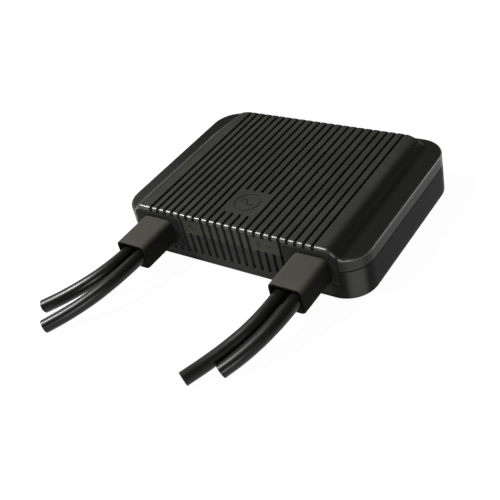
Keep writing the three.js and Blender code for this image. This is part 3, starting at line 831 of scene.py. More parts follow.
@dataclass(frozen=True)
class GrooveShape:
    """One groove of the fins: a steep wall on its -X side, a bed, and a slope back up."""

    pitch: float = 4.0
    count: int = 22
    depth: float = 1.1
    bed: float = 0.3
    width: float = 1.6
    wall_offset: float = 0.55
    lead_in: float = 0.10
    wall_run: float = 0.03

    def wall_places(self) -> list[float]:
        """X of each groove's steep wall.

        Returns:
            The places, from left to right.
        """
        middle = (self.count - 1) / 2
        return [(index - middle) * self.pitch - self.wall_offset for index in range(self.count)]

    def columns(self) -> list[float]:
        """X of every column of points that the grooves need.

        Returns:
            The places, groove by groove.
        """
        steps = (-self.lead_in, -0.55 * self.lead_in, -0.2 * self.lead_in,
                 0.33 * self.wall_run, self.wall_run, self.bed,
                 (self.bed + self.width) / 2, self.width - 0.08, self.width + 0.06)
        return [wall + step for wall in self.wall_places() for step in steps]

    def tree(self) -> Tree:
        """The tree that presses the grooves into a blank.

        The blank's points carry two attributes: `inward`, the direction in which a groove is
        pressed, and `grooved`, which is 1 where grooves run and 0 where the surface stays.

        Returns:
            The finished tree.
        """
        tree = Tree("press_grooves", {
            "Pitch": self.pitch * MM, "First Wall": self.wall_places()[0] * MM,
            "Depth": self.depth * MM, "Bed": self.bed * MM, "Width": self.width * MM,
            "Lead In": self.lead_in * MM, "Wall Run": self.wall_run * MM,
            "Round Off": 0.06 * MM})
        nodes, sizes = tree.nodes, tree.inside
        where = nodes.add("GeometryNodeInputPosition").outputs[0]
        across = nodes.add("ShaderNodeSeparateXYZ", {0: where}).outputs[0]
        start = nodes.math("SUBTRACT", sizes["First Wall"], sizes["Lead In"])
        along = nodes.math("SUBTRACT", across, start)
        phase = nodes.math("SUBTRACT", nodes.math("FLOORED_MODULO", along, sizes["Pitch"]),
                           sizes["Lead In"])
        fall = nodes.add("ShaderNodeMapRange", {
            0: phase, 1: nodes.math("MULTIPLY", sizes["Lead In"], -1.0),
            2: sizes["Wall Run"], 3: 0.0, 4: 1.0}, interpolation_type="SMOOTHSTEP").outputs[0]
        far = nodes.math("ADD", sizes["Width"], sizes["Round Off"])
        climb = nodes.add("ShaderNodeMapRange", {
            0: phase, 1: sizes["Bed"], 2: far, 3: 1.0, 4: 0.0}).outputs[0]
        share = nodes.math("MINIMUM", fall, climb)
        grooved = nodes.add("GeometryNodeInputNamedAttribute", {"Name": "grooved"},
                            data_type="FLOAT").outputs[0]
        inward = nodes.add("GeometryNodeInputNamedAttribute", {"Name": "inward"},
                           data_type="FLOAT_VECTOR").outputs[0]
        press = nodes.math("MULTIPLY", nodes.math("MULTIPLY", share, grooved), sizes["Depth"])
        move = nodes.add("ShaderNodeVectorMath", {0: inward, "Scale": press},
                         operation="SCALE").outputs[0]
        pressed = nodes.add("GeometryNodeSetPosition", {
            "Geometry": sizes["Mesh"], "Offset": move}).outputs[0]
        tree.end(pressed)
        return tree


# ---- studio ---------------------------------------------------------------------------------


@dataclass
class Studio:
    """Camera, floor and soft lights."""

    camera_place: Point = (192.3, -243.6, 220.6)
    azimuth: float = 42.505
    elevation: float = 37.338
    roll: float = -14.743
    lens: float = 58.236
    floor_size: float = 6.0
    floor_level: float = 0.0

    def camera(self) -> None:
        """Make the camera at its measured place and turn."""
        turn, lift, roll = (math.radians(angle) for angle in
                            (self.azimuth, self.elevation, self.roll))
        back = Vector((math.sin(turn) * math.cos(lift), -math.cos(turn) * math.cos(lift),
                       math.sin(lift)))
        right = (-back).cross(Vector((0.0, 0.0, 1.0))).normalized()
        up = right.cross(-back)
        across = right * math.cos(roll) + up * math.sin(roll)
        upward = -right * math.sin(roll) + up * math.cos(roll)
        data = bpy.data.cameras.new("camera")
        data.lens = self.lens
        data.sensor_width = 36.0
        data.clip_start = 0.01
        made = place("camera", data)
        turned = Matrix((across, upward, back)).transposed().to_4x4()
        made.matrix_world = Matrix.Translation(Vector(self.camera_place) * MM) @ turned
        bpy.context.scene.camera = made

    def floor(self) -> None:
        """Make the pale floor that the inverter stands on."""
        half = self.floor_size / 2
        level = self.floor_level * MM
        data = bpy.data.meshes.new("floor")
        corners = ((-half, -half), (half, -half), (half, half), (-half, half))
        data.from_pydata([(x, y, level) for x, y in corners], [], [(0, 1, 2, 3)])
        made = place("floor", data)
        paper = bpy.data.materials.new("floor_paper")
        paper.use_nodes = True
        nodes = Nodes(paper.node_tree)
        shader = paper.node_tree.nodes["Principled BSDF"]
        shader.inputs["Roughness"].default_value = 0.9
        shader.inputs["Specular IOR Level"].default_value = 0.1
        where = nodes.add("ShaderNodeTexCoord").outputs["Object"]
        tone = nodes.blend(nodes.noise(where, 60.0), shade(0.10), shade(0.11))
        paper.node_tree.links.new(tone, shader.inputs["Base Color"])
        shader.inputs["Emission Color"].default_value = (1.0, 1.0, 1.0, 1.0)
        shader.inputs["Emission Strength"].default_value = 0.96
        data.materials.append(paper)

    def lamp(
        self, name: str, middle: Point, target: Point, size: float, power: float,
        height: float | None = None,
    ) -> None:
        """Add one soft panel light.

        Args:
            name: name of the light.
            middle: its middle, in metres.
            target: point it faces, in metres.
            size: width in metres.
            power: watts.
            height: height in metres, the width's where it is None.
        """
        data = bpy.data.lights.new(name, "AREA")
        data.shape = "RECTANGLE"
        data.size = size
        data.size_y = height or size
        data.energy = power
        made = place(name, data)
        made.location = middle
        aim = Vector(target) - Vector(middle)
        made.rotation_euler = aim.to_track_quat("-Z", "Y").to_euler()

    def lights(self) -> None:
        """Set the sky and the soft panels."""
        world = bpy.data.worlds.new("sky")
        world.use_nodes = True
        sky = world.node_tree.nodes["Background"]
        sky.inputs["Color"].default_value = (0.92, 0.95, 1.0, 1.0)
        sky.inputs["Strength"].default_value = 0.07
        bpy.context.scene.world = world
        middle = (0.0, -0.02, 0.01)
        self.lamp("key_panel", (-0.60, -0.38, 0.80), middle, 0.30, 24.0)
        self.lamp("back_panel", (-1.60, 0.62, 0.95), middle, 1.25, 5.0)
        self.lamp("low_panel", (1.0, 1.05, 0.14), middle, 1.1, 6.0, height=0.2)
        self.lamp("corner_panel", (0.8, -1.1, 0.35), middle, 0.3, 7.0)
        settings = bpy.context.scene.view_settings
        settings.view_transform = "Standard"
        settings.look = "None"


# ---- leads ----------------------------------------------------------------------------------


@dataclass
class Lead:
    """One round lead: a jacket that follows its route, with a blunt cut end."""

    node: str
    side: Side
    route: tuple[Point, ...]
    diameter: float = 6.2
    exit_y: float = -64.3
    exit_z: float = 13.7
    sides: int = 40
    step: float = 0.9
    jacket_wall: float = 0.9
    core_setback: float = 0.25
    cut_chamfer: float = 0.15

    @staticmethod
    def between(one: Vector, other: Vector, start: float, end: float, at: float) -> Vector:
        """The point between two others at a moment between their moments.

        Args:
            one: first point.
            other: second point.
            start: the first point's moment.
            end: the second point's moment.
            at: moment asked for.

        Returns:
            The point.
        """
        return (one * (end - at) + other * (at - start)) / (end - start)

    def centre_line(self) -> list[Vector]:
        """The route as evenly spaced points on a centripetal Catmull-Rom curve.

        Returns:
            The points, in millimetres.
        """
        given = [Vector(point) for point in self.route]
        knots = [2 * given[0] - given[1], *given, 2 * given[-1] - given[-2]]
        dense: list[Vector] = []
        for index in range(1, len(knots) - 2):
            corners = knots[index - 1:index + 3]
            times = [0.0]
            for one, other in zip(corners, corners[1:]):
                times.append(times[-1] + math.sqrt((other - one).length))
            for part in range(24):
                at = times[1] + (times[2] - times[1]) * part / 24
                row = [self.between(corners[k], corners[k + 1], times[k], times[k + 1], at)
                       for k in range(3)]
                row = [self.between(row[k], row[k + 1], times[k], times[k + 2], at)
                       for k in range(2)]
                dense.append(self.between(row[0], row[1], times[1], times[2], at))
        dense.append(given[-1])
        lengths = [0.0]
        for one, other in zip(dense, dense[1:]):
            lengths.append(lengths[-1] + (other - one).length)
        count = max(2, round(lengths[-1] / self.step))
        even, spot = [], 0
        for index in range(count + 1):
            want = lengths[-1] * index / count
            while spot < len(lengths) - 2 and lengths[spot + 1] < want:
                spot += 1
            span = max(lengths[spot + 1] - lengths[spot], 1e-9)
            even.append(dense[spot].lerp(dense[spot + 1], (want - lengths[spot]) / span))
        return even

    def build(self) -> tuple[bpy.types.Object, list[Vector]]:
        """Make the jacket, with its cut end, as one closed mesh.

        Returns:
            The piece and its centre line in millimetres.
        """
        line = self.centre_line()
        radius = self.diameter / 2
        skin = Skin()
        turns = turns_of(self.sides)

        def ring(middle: Vector, along: Vector, reach: float) -> list[int]:
            """Add one round section of the lead.

            Args:
                middle: middle of the section.
                along: the lead's direction there.
                reach: radius.

            Returns:
                The numbers of its points.
            """
            across = along.cross(Vector((0.0, 0.0, 1.0))).normalized()
            upward = across.cross(along).normalized()
            return skin.row([middle + reach * (math.cos(t) * across + math.sin(t) * upward)
                             for t in turns])

        rows = []
        for index, middle in enumerate(line):
            along = (line[min(index + 1, len(line) - 1)] - line[max(index - 1, 0)]).normalized()
            reach = radius - (self.cut_chamfer if index == len(line) - 1 else 0.0)
            rows.append(ring(middle, along, reach))
        along = (line[-1] - line[-2]).normalized()
        near = line[-1] - along * self.cut_chamfer
        rows.insert(-1, ring(near, along, radius))
        inner = radius - self.jacket_wall
        rows.append(ring(line[-1], along, inner))
        rows.append(ring(line[-1] - along * self.core_setback, along, inner - 0.06))
        rows.append(ring(line[-1] - along * self.core_setback, along, 0.55 * inner))
        rows.append(ring(line[-1] - along * 0.5 * self.core_setback, along, 0.50 * inner))
        skin.loft(rows)
        piece = skin.mesh(f"{self.node}_jacket")
        smooth(piece, 40.0)
        return piece, line

    def dress(self, piece: bpy.types.Object, line: Sequence[Vector]) -> None:
        """Give the cut end its darker core and put the lead in its place.

        Args:
            piece: the lead's mesh object.
            line: its centre line in millimetres.
        """
        finish_piece(piece, "lead_jacket", [self.node], LEAD_JACKET)
        piece.data.materials.append(LEAD_CORE.material())
        end = line[-1] * MM
        reach = (self.diameter / 2 - self.jacket_wall + 0.02) * MM
        for face in piece.data.polygons:
            if (face.center - end).length < reach:
                face.material_index = 1

    def declare(
        self, piece: bpy.types.Object, line: Sequence[Vector], boot: bpy.types.Object
    ) -> None:
        """Args:
            piece: the lead's mesh object; not used.
            line: its centre line in millimetres.
            boot: the strain relief it leaves through; not used.
        """
        length = sum((b - a).length for a, b in zip(line, line[1:])) * MM
        [tuple(point * MM) for point in line]
        log.info("%s is %.1f mm long", self.node, length / MM)


LEADS: tuple[Lead, ...] = (
    Lead("grid_lead_neutral", Side.LEFT, (
        (-43.6, -37, 13.7), (-43.6, -50.5, 13.7), (-43.6, -63.5, 13.7), (-45, -70.7, 13),
        (-48.5, -78.5, 11.3), (-54.1, -86, 8.9), (-61.1, -92.5, 6), (-68.7, -98.4, 3.2))),
    Lead("grid_lead_live", Side.LEFT, (
        (-36.4, -37, 13.7), (-36.4, -50.5, 13.7), (-36.4, -63.5, 13.7), (-37.5, -71.8, 12.9),
        (-40.6, -81.6, 11), (-45.7, -91.3, 8.3), (-52, -100, 5.6), (-58.9, -108.1, 3.2))),
    Lead("panel_lead_negative", Side.RIGHT, (
        (36.4, -37, 13.7), (36.4, -50.5, 13.7), (36.4, -63.5, 13.7), (34.9, -73.2, 12),
        (32, -81.4, 9.5), (27.7, -89.7, 6.8), (22.8, -98.6, 4.6), (17.9, -108, 3.2))),
    Lead("panel_lead_positive", Side.RIGHT, (
        (43.6, -37, 13.7), (43.6, -50.5, 13.7), (43.6, -63.5, 13.7), (42.9, -70.2, 12.8),
        (41.4, -76.5, 11.3), (38.4, -84.2, 8.8), (34.3, -91.9, 6), (29.4, -99, 3.2))),
)


# ---- boots and gland plates -----------------------------------------------------------------


@dataclass
class Gland:
    """A cable boot and the plate round it, on one side of the front face."""

    side: Side
    boot_x: float = 40.0
    axis_height: float = 13.7
    front: float = -45.0
    wall: float = 3.2
    boot_width: float = 16.4
    boot_height: float = 12.6
    boot_corner: float = 3.0
    boot_reach: float = 19.3
    mouth_depth: float = 4.0
    mouth_wall: float = 1.1
    rim_round: float = 0.45
    flange: float = 2.0
    flange_thickness: float = 1.6
    lead_offset: float = 3.6
    lead_bore: float = 6.8
    gap: float = 0.3
    plate_width: float = 24.8
    plate_bottom: float = 7.1
    plate_top: float = 21.9
    plate_corner: float = 1.2
    plate_front: float = 0.22
    plate_thickness: float = 1.6

    @property
    def x(self) -> float:
        """X of the boot's axis.

        Returns:
            The place across.
        """
        return self.side.value * self.boot_x

    def section(self, grow: float, y: float) -> list[Point]:
        """One rounded section of the boot.

        Args:
            grow: how far the section is outside the boot's nominal outline.
            y: where it stands.

        Returns:
            The points.
        """
        corner = max(self.boot_corner + grow, 0.3)
        loop = rounded_loop(self.boot_width + 2 * grow, self.boot_height + 2 * grow, corner,
                            (self.x, self.axis_height), 10)
        return [(x, y, z) for x, z in loop]

    def boot(self) -> bpy.types.Object:
        """Make the hollow boot with its flange and two bores.

        Returns:
            The mesh object.
        """
        skin = Skin()
        tip = self.front - self.boot_reach
        inside = self.front + self.wall
        tail = inside + self.gap + self.flange_thickness
        soft = self.rim_round
        stations = [
            (self.flange, tail), (self.flange, inside + self.gap), (0.0, inside + self.gap),
            (0.0, self.front + 0.6), (0.0, self.front - 2.0), (-0.02, tip + 6.0),
            (-0.05, tip + soft), (-0.05 - 0.3 * soft, tip + 0.3 * soft),
            (-0.05 - 0.8 * soft, tip), (-self.mouth_wall + 0.15, tip),
            (-self.mouth_wall, tip + 0.2), (-self.mouth_wall - 0.15, tip + self.mouth_depth)]
        rows = [skin.row(self.section(grow, y)) for grow, y in stations]
        skin.loft(rows)
        piece = skin.mesh(f"{self.side.word}_boot")
        carve(piece, self.bores(tip - 5.0, tail + 5.0), "DIFFERENCE")
        smooth(piece, 38.0)
        return piece

    def bores(self, front: float, back: float) -> bpy.types.Object:
        """The two round bores for the leads, as one cutting mesh.

        Args:
            front: Y of their front ends.
            back: Y of their back ends.

        Returns:
            The mesh object.
        """
        skin = Skin()
        turns = turns_of(40)
        reach = self.lead_bore / 2
        for offset in (-self.lead_offset, self.lead_offset):
            ends = [skin.row([(self.x + offset + reach * math.cos(t), y,
                               self.axis_height + reach * math.sin(t)) for t in turns])
                    for y in (front, back)]
            skin.strip(ends[0], ends[1])
            skin.cap(ends[0])
            skin.cap(ends[1][::-1])
        return skin.mesh("bore_tool")

    def plate(self) -> bpy.types.Object:
        """Make the plate that fills its seat round the boot.

        Returns:
            The mesh object.
        """
        skin = Skin()
        face = self.front + self.plate_front
        back = self.front + self.plate_thickness
        edge = 0.25
        middle = (self.x, (self.plate_top + self.plate_bottom) / 2)
        height = self.plate_top - self.plate_bottom
        rows = []
        for grow, y in ((0.0, back), (0.0, face + edge), (-0.3 * edge, face + 0.3 * edge),
                        (-edge, face)):
            loop = rounded_loop(self.plate_width + 2 * grow, height + 2 * grow,
                                self.plate_corner + grow, middle, 10)
            rows.append(skin.row([(x, y, z) for x, z in loop]))
        for grow, y in ((self.gap + 0.12, face), (self.gap, face + 0.12), (self.gap, back)):
            rows.append(skin.row(self.section(grow, y)))
        skin.join([*rows, rows[0]])
        piece = skin.mesh(f"{self.side.word}_plate")
        smooth(piece, 30.0)
        return piece

    def seat_tool(self, skin: Skin) -> None:
        """Add the plate's seat and the boot's hole to a cutting mesh.

        Args:
            skin: mesh that gathers the cutters.
        """
        middle = (self.x, (self.plate_top + self.plate_bottom) / 2)
        height = self.plate_top - self.plate_bottom
        outer = rounded_loop(self.plate_width + 2 * self.gap, height + 2 * self.gap,
                             self.plate_corner + self.gap, middle, 10)
        seat = self.front + self.plate_thickness + self.gap
        rows = [skin.row([(x, y, z) for x, z in outer]) for y in (self.front - 2.0, seat)]
        rows += [skin.row(self.section(self.gap, y)) for y in (seat, self.front + self.wall + 1)]
        skin.join(rows)
        skin.cap(rows[0])
        skin.cap(rows[-1][::-1])

    def build(self) -> bpy.types.Object:
        """Make and dress the boot and the plate.

        Returns:
            The boot, which the leads of this side run through.
        """
        boot, plate = self.boot(), self.plate()
        word = self.side.word
        finish_piece(boot, "boot_rubber", [f"{word}_cable_boot"], BOOT_RUBBER)
        finish_piece(plate, "plate_plastic", [f"{word}_gland_plate"], PLATE_PLASTIC)
        return boot


# ---- housing --------------------------------------------------------------------------------


@dataclass
class Housing:
    """The finned cover and the base shell under it."""

    glands: Sequence[Gland]
    half_width: float = 62.0
    half_depth: float = 45.0
    height: float = 25.4
    corner: float = 13.0
    wall: float = 3.2
    roof: float = 3.2
    floor: float = 2.4
    seam: float = 14.8
    gap: float = 0.3
    shoulder_top: float = 48.0
    shoulder_foot: float = 55.0
    shoulder_drop: float = 4.4
    back_top: float = 39.0
    back_foot: float = 44.0
    top_round: float = 1.35
    bottom_round: float = 1.2
    lip_height: float = 0.55
    lip_step: float = 0.35
    lip_fade: tuple[float, float] = (46.5, 53.0)
    groove_foot: float = 4.5
    emblem_pad: tuple[float, float, float, float] = (-8.0, 8.0, -35.9, -19.5)
    mark_pads: tuple[tuple[float, float], ...] = ((-24.0, -16.0), (12.0, 24.0))
    mark_pad_levels: tuple[float, float] = (15.7, 22.6)
    plate_band: tuple[float, float] = (27.2, 52.8)
    plate_levels: tuple[float, float] = (6.1, 22.9)
    boss_radius: float = 3.6
    boss_inset: float = 8.2
    screw_bore: float = 1.8
    screw_tip: float = 18.6
    head_radius: float = 3.1
    head_depth: float = 1.9
    posts: tuple[float, float] = (49.8, 22.5)
    post_radius: float = 2.6
    post_top: float = 5.7
    plateau_round: float = 0.9
    mark_stroke: float = 0.55
    mark_depth: float = 0.3
    round_steps: int = 6
    grooves: GrooveShape = field(default_factory=GrooveShape)

    @staticmethod
    def step_share(part: float) -> float:
        """How far down the S-shaped step is, by how far out along its run a place is.

        Args:
            part: place along the run, 0 at the plateau and 1 at the foot.

        Returns:
            Share of the drop, from 0 to 1.
        """
        if part <= 0.0 or part >= 1.0:
            return min(max(part, 0.0), 1.0)
        low, high = 0.0, 1.0
        for _ in range(40):
            at = (low + high) / 2
            rest = 1.0 - at
            run = 1.5 * rest * rest * at + 1.5 * rest * at * at + at ** 3
            low, high = (at, high) if run < part else (low, at)
        return at * at * (3 - 2 * at)

    def top_at(self, x: float, y: float = 0.0) -> float:
        """Height of the cover's outside, before its edges are rounded.

        The plateau steps down to the left, to the right and at the back, and the step runs
        round the plateau's back corners.

        Args:
            x: place across.
            y: place along.

        Returns:
            The height.
        """
        aside = (abs(x) - self.shoulder_top) / (self.shoulder_foot - self.shoulder_top)
        behind = (y - self.back_top) / (self.back_foot - self.back_top)
        soft = self.plateau_round
        across, along = max(aside + soft, 0.0), max(behind + soft, 0.0)
        part = max(math.hypot(across, along) - soft, aside, behind)
        return self.height - self.shoulder_drop * self.step_share(part)

    def columns(self) -> list[tuple[str, float]]:
        """Stations along the front face from left to right.

        Returns:
            Pairs of kind and value: an angle for a corner, an x for the straight part.
        """
        straight = self.half_width - self.corner
        xs = set(self.grooves.columns())
        for low, high in (*self.mark_pads, self.emblem_pad[:2]):
            xs |= {low - 0.02, low + 0.02, high - 0.02, high + 0.02}
        for sign in (-1, 1):
            xs |= {sign * value for value in (44.5, 46.5, 47.4, 48.0, 48.5)}
            xs |= {sign * (edge + nudge) for edge in self.plate_band[:1]
                   for nudge in (-0.02, 0.02)}
        xs |= {-straight, straight}
        ordered = sorted(xs)
        kept = [ordered[0]]
        for x in ordered[1:]:
            if x - kept[-1] > 0.008:
                kept.append(x)
        turn = [90.0 * step / 22 for step in range(1, 23)]
        left = [("left", 270.0 - angle) for angle in reversed(turn)]
        right = [("right", 270.0 + angle) for angle in turn]
        return left + [("straight", x) for x in kept] + right

    def station(self, kind: str, value: float, inset: float, back: bool) -> tuple[float, float]:
        """X and y of one station on the outline.

        Args:
            kind: left, right or straight.
            value: angle in degrees or x.
            inset: distance inside the housing's outline.
            back: whether the station is on the back face.

        Returns:
            The point.
        """
        reach = self.corner - inset
        if kind == "straight":
            x, y = value, -self.half_depth + inset
        else:
            sign = -1 if kind == "left" else 1
            angle = math.radians(value)
            x = sign * (self.half_width - self.corner) + reach * math.cos(angle)
            y = -(self.half_depth - self.corner) + reach * math.sin(angle)
        return x, -y if back else y

    def shares(self) -> list[float]:
        """Where the rows of the top stand, as shares of its depth.

        Returns:
            The shares, from front to back.
        """
        reach = self.half_depth - self.top_round
        rows = [0.0, 1.0, 0.5, 0.7]
        for y in self.emblem_pad[2:]:
            rows += [(y + reach + nudge) / (2 * reach) for nudge in (-0.03, 0.03)]
        run = self.back_foot - self.back_top
        rows += [(self.back_top + run * step / 16 + reach) / (2 * reach)
                 for step in range(-1, 16)]
        return sorted(row for row in rows if row == 1.0 or row < 0.9995)

    def boundary(
        self, inset: float, columns: Sequence[tuple[str, float]], shares: Sequence[float]
    ) -> list[tuple[float, float]]:
        """The outline at an inset: front, right side, back and left side in turn.

        Args:
            inset: distance inside the housing's outline.
            columns: stations along the front.
            shares: places along the sides.

        Returns:
            The loop's points.
        """
        front = [self.station(kind, value, inset, False) for kind, value in columns]
        back = [self.station(kind, value, inset, True) for kind, value in columns]
        right_x, left_x = front[-1][0], front[0][0]
        low, high = front[-1][1], back[-1][1]
        sides = [low + (high - low) * share for share in shares[1:-1]]
        return (front + [(right_x, y) for y in sides] + back[::-1]
                + [(left_x, y) for y in reversed(sides)])

    def lip_inset(self, x: float) -> float:
        """How far the front and back faces stand behind the lip at x.

        Args:
            x: place across.

        Returns:
            The distance.
        """
        start, end = self.lip_fade
        part = min(max((abs(x) - start) / (end - start), 0.0), 1.0)
        return self.lip_step * (1 - part * part * (3 - 2 * part))

    def is_grooved(self, x: float, y: float, z: float) -> float:
        """Share of the full groove: 1 where grooves run and 0 where the surface stays smooth.

        Args:
            x: place across.
            y: place along.
            z: height.

        Returns:
            The share.
        """
        first = self.grooves.wall_places()[0] - 0.5
        if not first < x < -first + 1.5 or z < self.groove_foot:
            return 0.0
        if y > -self.half_depth + self.top_round - 0.01:
            low_x, high_x, low_y, high_y = self.emblem_pad
            if low_x < x < high_x and low_y < y < high_y:
                return 0.0
            bed = self.height - self.grooves.depth
            return min(max((z - bed) / self.grooves.depth, 0.0), 1.0)
        if self.mark_pad_levels[0] < z < self.mark_pad_levels[1] and any(
                low < x < high for low, high in self.mark_pads):
            return 0.0
        if (self.plate_levels[0] < z < self.plate_levels[1]
                and self.plate_band[0] < abs(x) < self.plate_band[1]):
            return 0.0
        return 1.0

    def offset_rings(
        self, loop_at: Callable[[float], list[tuple[float, float]]],
        levels: Sequence[tuple[Callable[[float, float], float], float, bool]],
    ) -> list[list[tuple[Point, Point, float]]]:
        """Wall rings as points with their inward directions and groove masks.

        Args:
            loop_at: gives the outline at an inset.
            levels: height by x and y, inset, and whether the face stands behind the lip.

        Returns:
            One list of (point, inward, mask) for each ring.
        """
        rings = []
        for height_at, inset, behind in levels:
            ring = []
            for x, y in loop_at(inset):
                z = height_at(x, y)
                front = abs(x) < self.half_width - self.corner + 1e-6 and y < 0
                shift = self.lip_inset(x) if behind and y < 0 else 0.0
                ring.append(((x, y + shift, z), (0.0, 1.0 if front else 0.0, 0.0),
                             self.is_grooved(x, y, z) if front else 0.0))
            rings.append(ring)
        return rings

    def shell(
        self, name: str, outer: Sequence[tuple[Callable[[float, float], float], float, bool]],
        inner: Sequence[tuple[Callable[[float, float], float], float, bool]],
        end_at: Callable[[float, float, float], float],
        inner_end: Callable[[float, float], float], rounding: float,
    ) -> bpy.types.Object:
        """Make one half of the housing as a closed, smooth blank with groove attributes.

        Args:
            name: name of the piece.
            outer: wall levels from the rounded edge to the seam.
            inner: wall levels from the seam back to the inside of the roof or floor.
            end_at: height of the outer end surface by x, y and distance inside the outline.
            inner_end: height of the inside of the roof or floor by x and y.
            rounding: radius of the edge between wall and end surface.

        Returns:
            The blank, with the attributes by which its grooves are pressed later.
        """
        columns, shares = self.columns(), self.shares()
        skin = Skin()
        inward: list[Point] = []
        masks: list[float] = []

        def put(ring: Sequence[tuple[Point, Point, float]]) -> list[int]:
            """Add one ring with its attributes.

            Args:
                ring: point, inward direction and mask of each place.

            Returns:
                The numbers of its points.
            """
            inward.extend(entry[1] for entry in ring)
            masks.extend(entry[2] for entry in ring)
            return skin.row([entry[0] for entry in ring])

        def field_of(inset: float, height_at: Callable[[float, float], float], masked: bool,
                     sign: float) -> list[list[int]]:
            """Add the grid of an end surface, as rows from front to back.

            Args:
                inset: distance inside the outline.
                height_at: height by x and y.
                masked: whether grooves run on it.
                sign: 1 for the top and -1 for the bottom.

            Returns:
                The rows of point numbers.
            """
            grid = []
            front = [self.station(kind, value, inset, False) for kind, value in columns]
            for share in shares:
                ring = []
                for x, y in front:
                    at = y + (-y - y) * share
                    z = height_at(x, at)
                    mask = self.is_grooved(x, at, z) if masked else 0.0
                    ring.append(((x, at, z), (0.0, 0.0, -sign), mask))
                grid.append(put(ring))
            return grid

        def edge_of(grid: Sequence[Sequence[int]]) -> list[int]:
            """The grid's boundary in the order of `boundary`.

            Args:
                grid: rows of point numbers.

            Returns:
                The numbers along the boundary.
            """
            return (list(grid[0]) + [row[-1] for row in grid[1:-1]]
                    + list(grid[-1])[::-1] + [row[0] for row in reversed(grid[1:-1])])

        def loop_at(inset: float) -> list[tuple[float, float]]:
            """The outline at an inset.

            Args:
                inset: distance inside the outline.

            Returns:
                The points of the loop.
            """
            return self.boundary(inset, columns, shares)

        is_cover = outer[0][0](0.0, 0.0) > self.seam
        sign = 1.0 if is_cover else -1.0
        top = field_of(rounding, lambda x, y: end_at(x, y, rounding), is_cover, sign)
        skin.join(top, closed=False)
        last = edge_of(top)
        for step in range(1, self.round_steps):
            angle = math.pi / 2 * step / self.round_steps
            inset = rounding * (1 - math.sin(angle))
            ring = []
            for x, y in loop_at(inset):
                z = end_at(x, y, inset)
                front = is_cover and abs(x) < self.half_width - self.corner + 1e-6 and y < 0
                toward = ((0.0, math.sin(angle), -sign * math.cos(angle))
                          if front else (0.0, 0.0, 0.0))
                ring.append(((x, y, z), toward, self.is_grooved(x, y, z) if front else 0.0))
            row = put(ring)
            skin.strip(last, row)
            last = row
        for ring in self.offset_rings(loop_at, outer):
            row = put(ring)
            skin.strip(last, row)
            last = row
        for ring in self.offset_rings(loop_at, inner):
            row = put([(point, way, 0.0) for point, way, _ in ring])
            skin.strip(last, row)
            last = row
        bed = field_of(self.wall, inner_end, False, sign)
        skin.join(bed, closed=False)
        skin.strip(last, edge_of(bed))
        return skin.mesh(name, {"inward": ("FLOAT_VECTOR", "vector", inward),
                                "grooved": ("FLOAT", "value", masks)})

    def level(self, height: float) -> Callable[[float, float], float]:
        """A height above the seam, squeezed where the cover's top is lower.

        Args:
            height: height on the plateau's front face.

        Returns:
            The height by x and y.
        """
        fixed = 19.0
        if height <= fixed:
            return lambda x, y: height
        plateau = self.height - self.top_round - fixed

        def at(x: float, y: float) -> float:
            """The height at a place.

            Args:
                x: place across.
                y: place along.

            Returns:
                The height.
            """
            room = self.top_at(x, y) - self.top_round - fixed
            return fixed + (height - fixed) * room / plateau

        return at

    def cover(self) -> bpy.types.Object:
        """Make the finned cover.

        Returns:
            The mesh object.
        """
        low = self.seam + self.gap / 2
        lip = self.height - self.top_round - self.lip_height
        outer = [(self.level(self.height - self.top_round), 0.0, False),
                 (self.level(lip + 0.12), 0.0, False), (self.level(lip), 0.1, False),
                 (self.level(lip - 0.02), 0.1, True), (self.level(lip - 0.1), 0.0, True)]
        heights = [22.93, 22.87, 22.63, 22.57, 19.0, 15.73, 15.67, low + 0.12]
        outer += [(self.level(height), 0.0, True) for height in heights]
        outer += [(self.level(low), 0.12, True)]
        inner = [(self.level(low), self.wall, False),
                 (lambda x, y: self.top_at(x, y) - self.roof - 0.4, self.wall, False)]

        def end_at(x: float, y: float, inset: float) -> float:
            """Height of the rounded top by place and distance inside the outline.

            Args:
                x: place across.
                y: place along.
                inset: distance inside the outline.

            Returns:
                The height.
            """
            away = self.top_round - inset
            drop = self.top_round - math.sqrt(max(self.top_round ** 2 - away ** 2, 0.0))
            return self.top_at(x, y) - drop

        return self.shell("finned_cover", outer, inner, end_at,
                          lambda x, y: self.top_at(x, y) - self.roof, self.top_round)

    def base(self) -> bpy.types.Object:
        """Make the base shell.

        Returns:
            The mesh object.
        """
        high = self.seam - self.gap / 2
        heights = [4.47, 4.53, 6.07, 6.13, 10.0, high - 0.12]
        outer = [(self.level(self.bottom_round), 0.0, True)]
        outer += [(self.level(height), 0.0, True) for height in heights]
        outer += [(self.level(high), 0.12, True)]
        inner = [(self.level(high), self.wall, False),
                 (self.level(self.floor + 0.4), self.wall, False)]

        def end_at(x: float, y: float, inset: float) -> float:
            """Height of the rounded bottom edge by distance inside the outline.

            Args:
                x: place across.
                y: place along.
                inset: distance inside the outline.

            Returns:
                The height.
            """
            away = self.bottom_round - inset
            return self.bottom_round - math.sqrt(max(self.bottom_round ** 2 - away ** 2, 0.0))

        return self.shell("lower_shell", outer, inner, end_at, self.level(self.floor),
                          self.bottom_round)

    def mark_tool(self) -> bpy.types.Object:
        """Strokes of the plain engraved symbols: a wave in a ring, a wave, a plus and a minus.

        Returns:
            The cutting mesh.
        """
        skin = Skin()
        width, depth = self.mark_stroke, self.mark_depth

        def wave(u: float, v: float, length: float, swing: float) -> list[tuple[float, float]]:
            """One period of a sine wave.

            Args:
                u: middle, first axis.
                v: middle, second axis.
                length: length of the period.
                swing: height of the wave.

            Returns:
                The points of the line.
            """
            return [(u + length * (step / 24 - 0.5), v + swing * math.sin(math.tau * step / 24))
                    for step in range(25)]

        def on_top(u: float, v: float, level: float) -> Point:
            """A place on the plateau.

            Args:
                u: place across.
                v: place along.
                level: height.

            Returns:
                The point.
            """
            return u, v, level

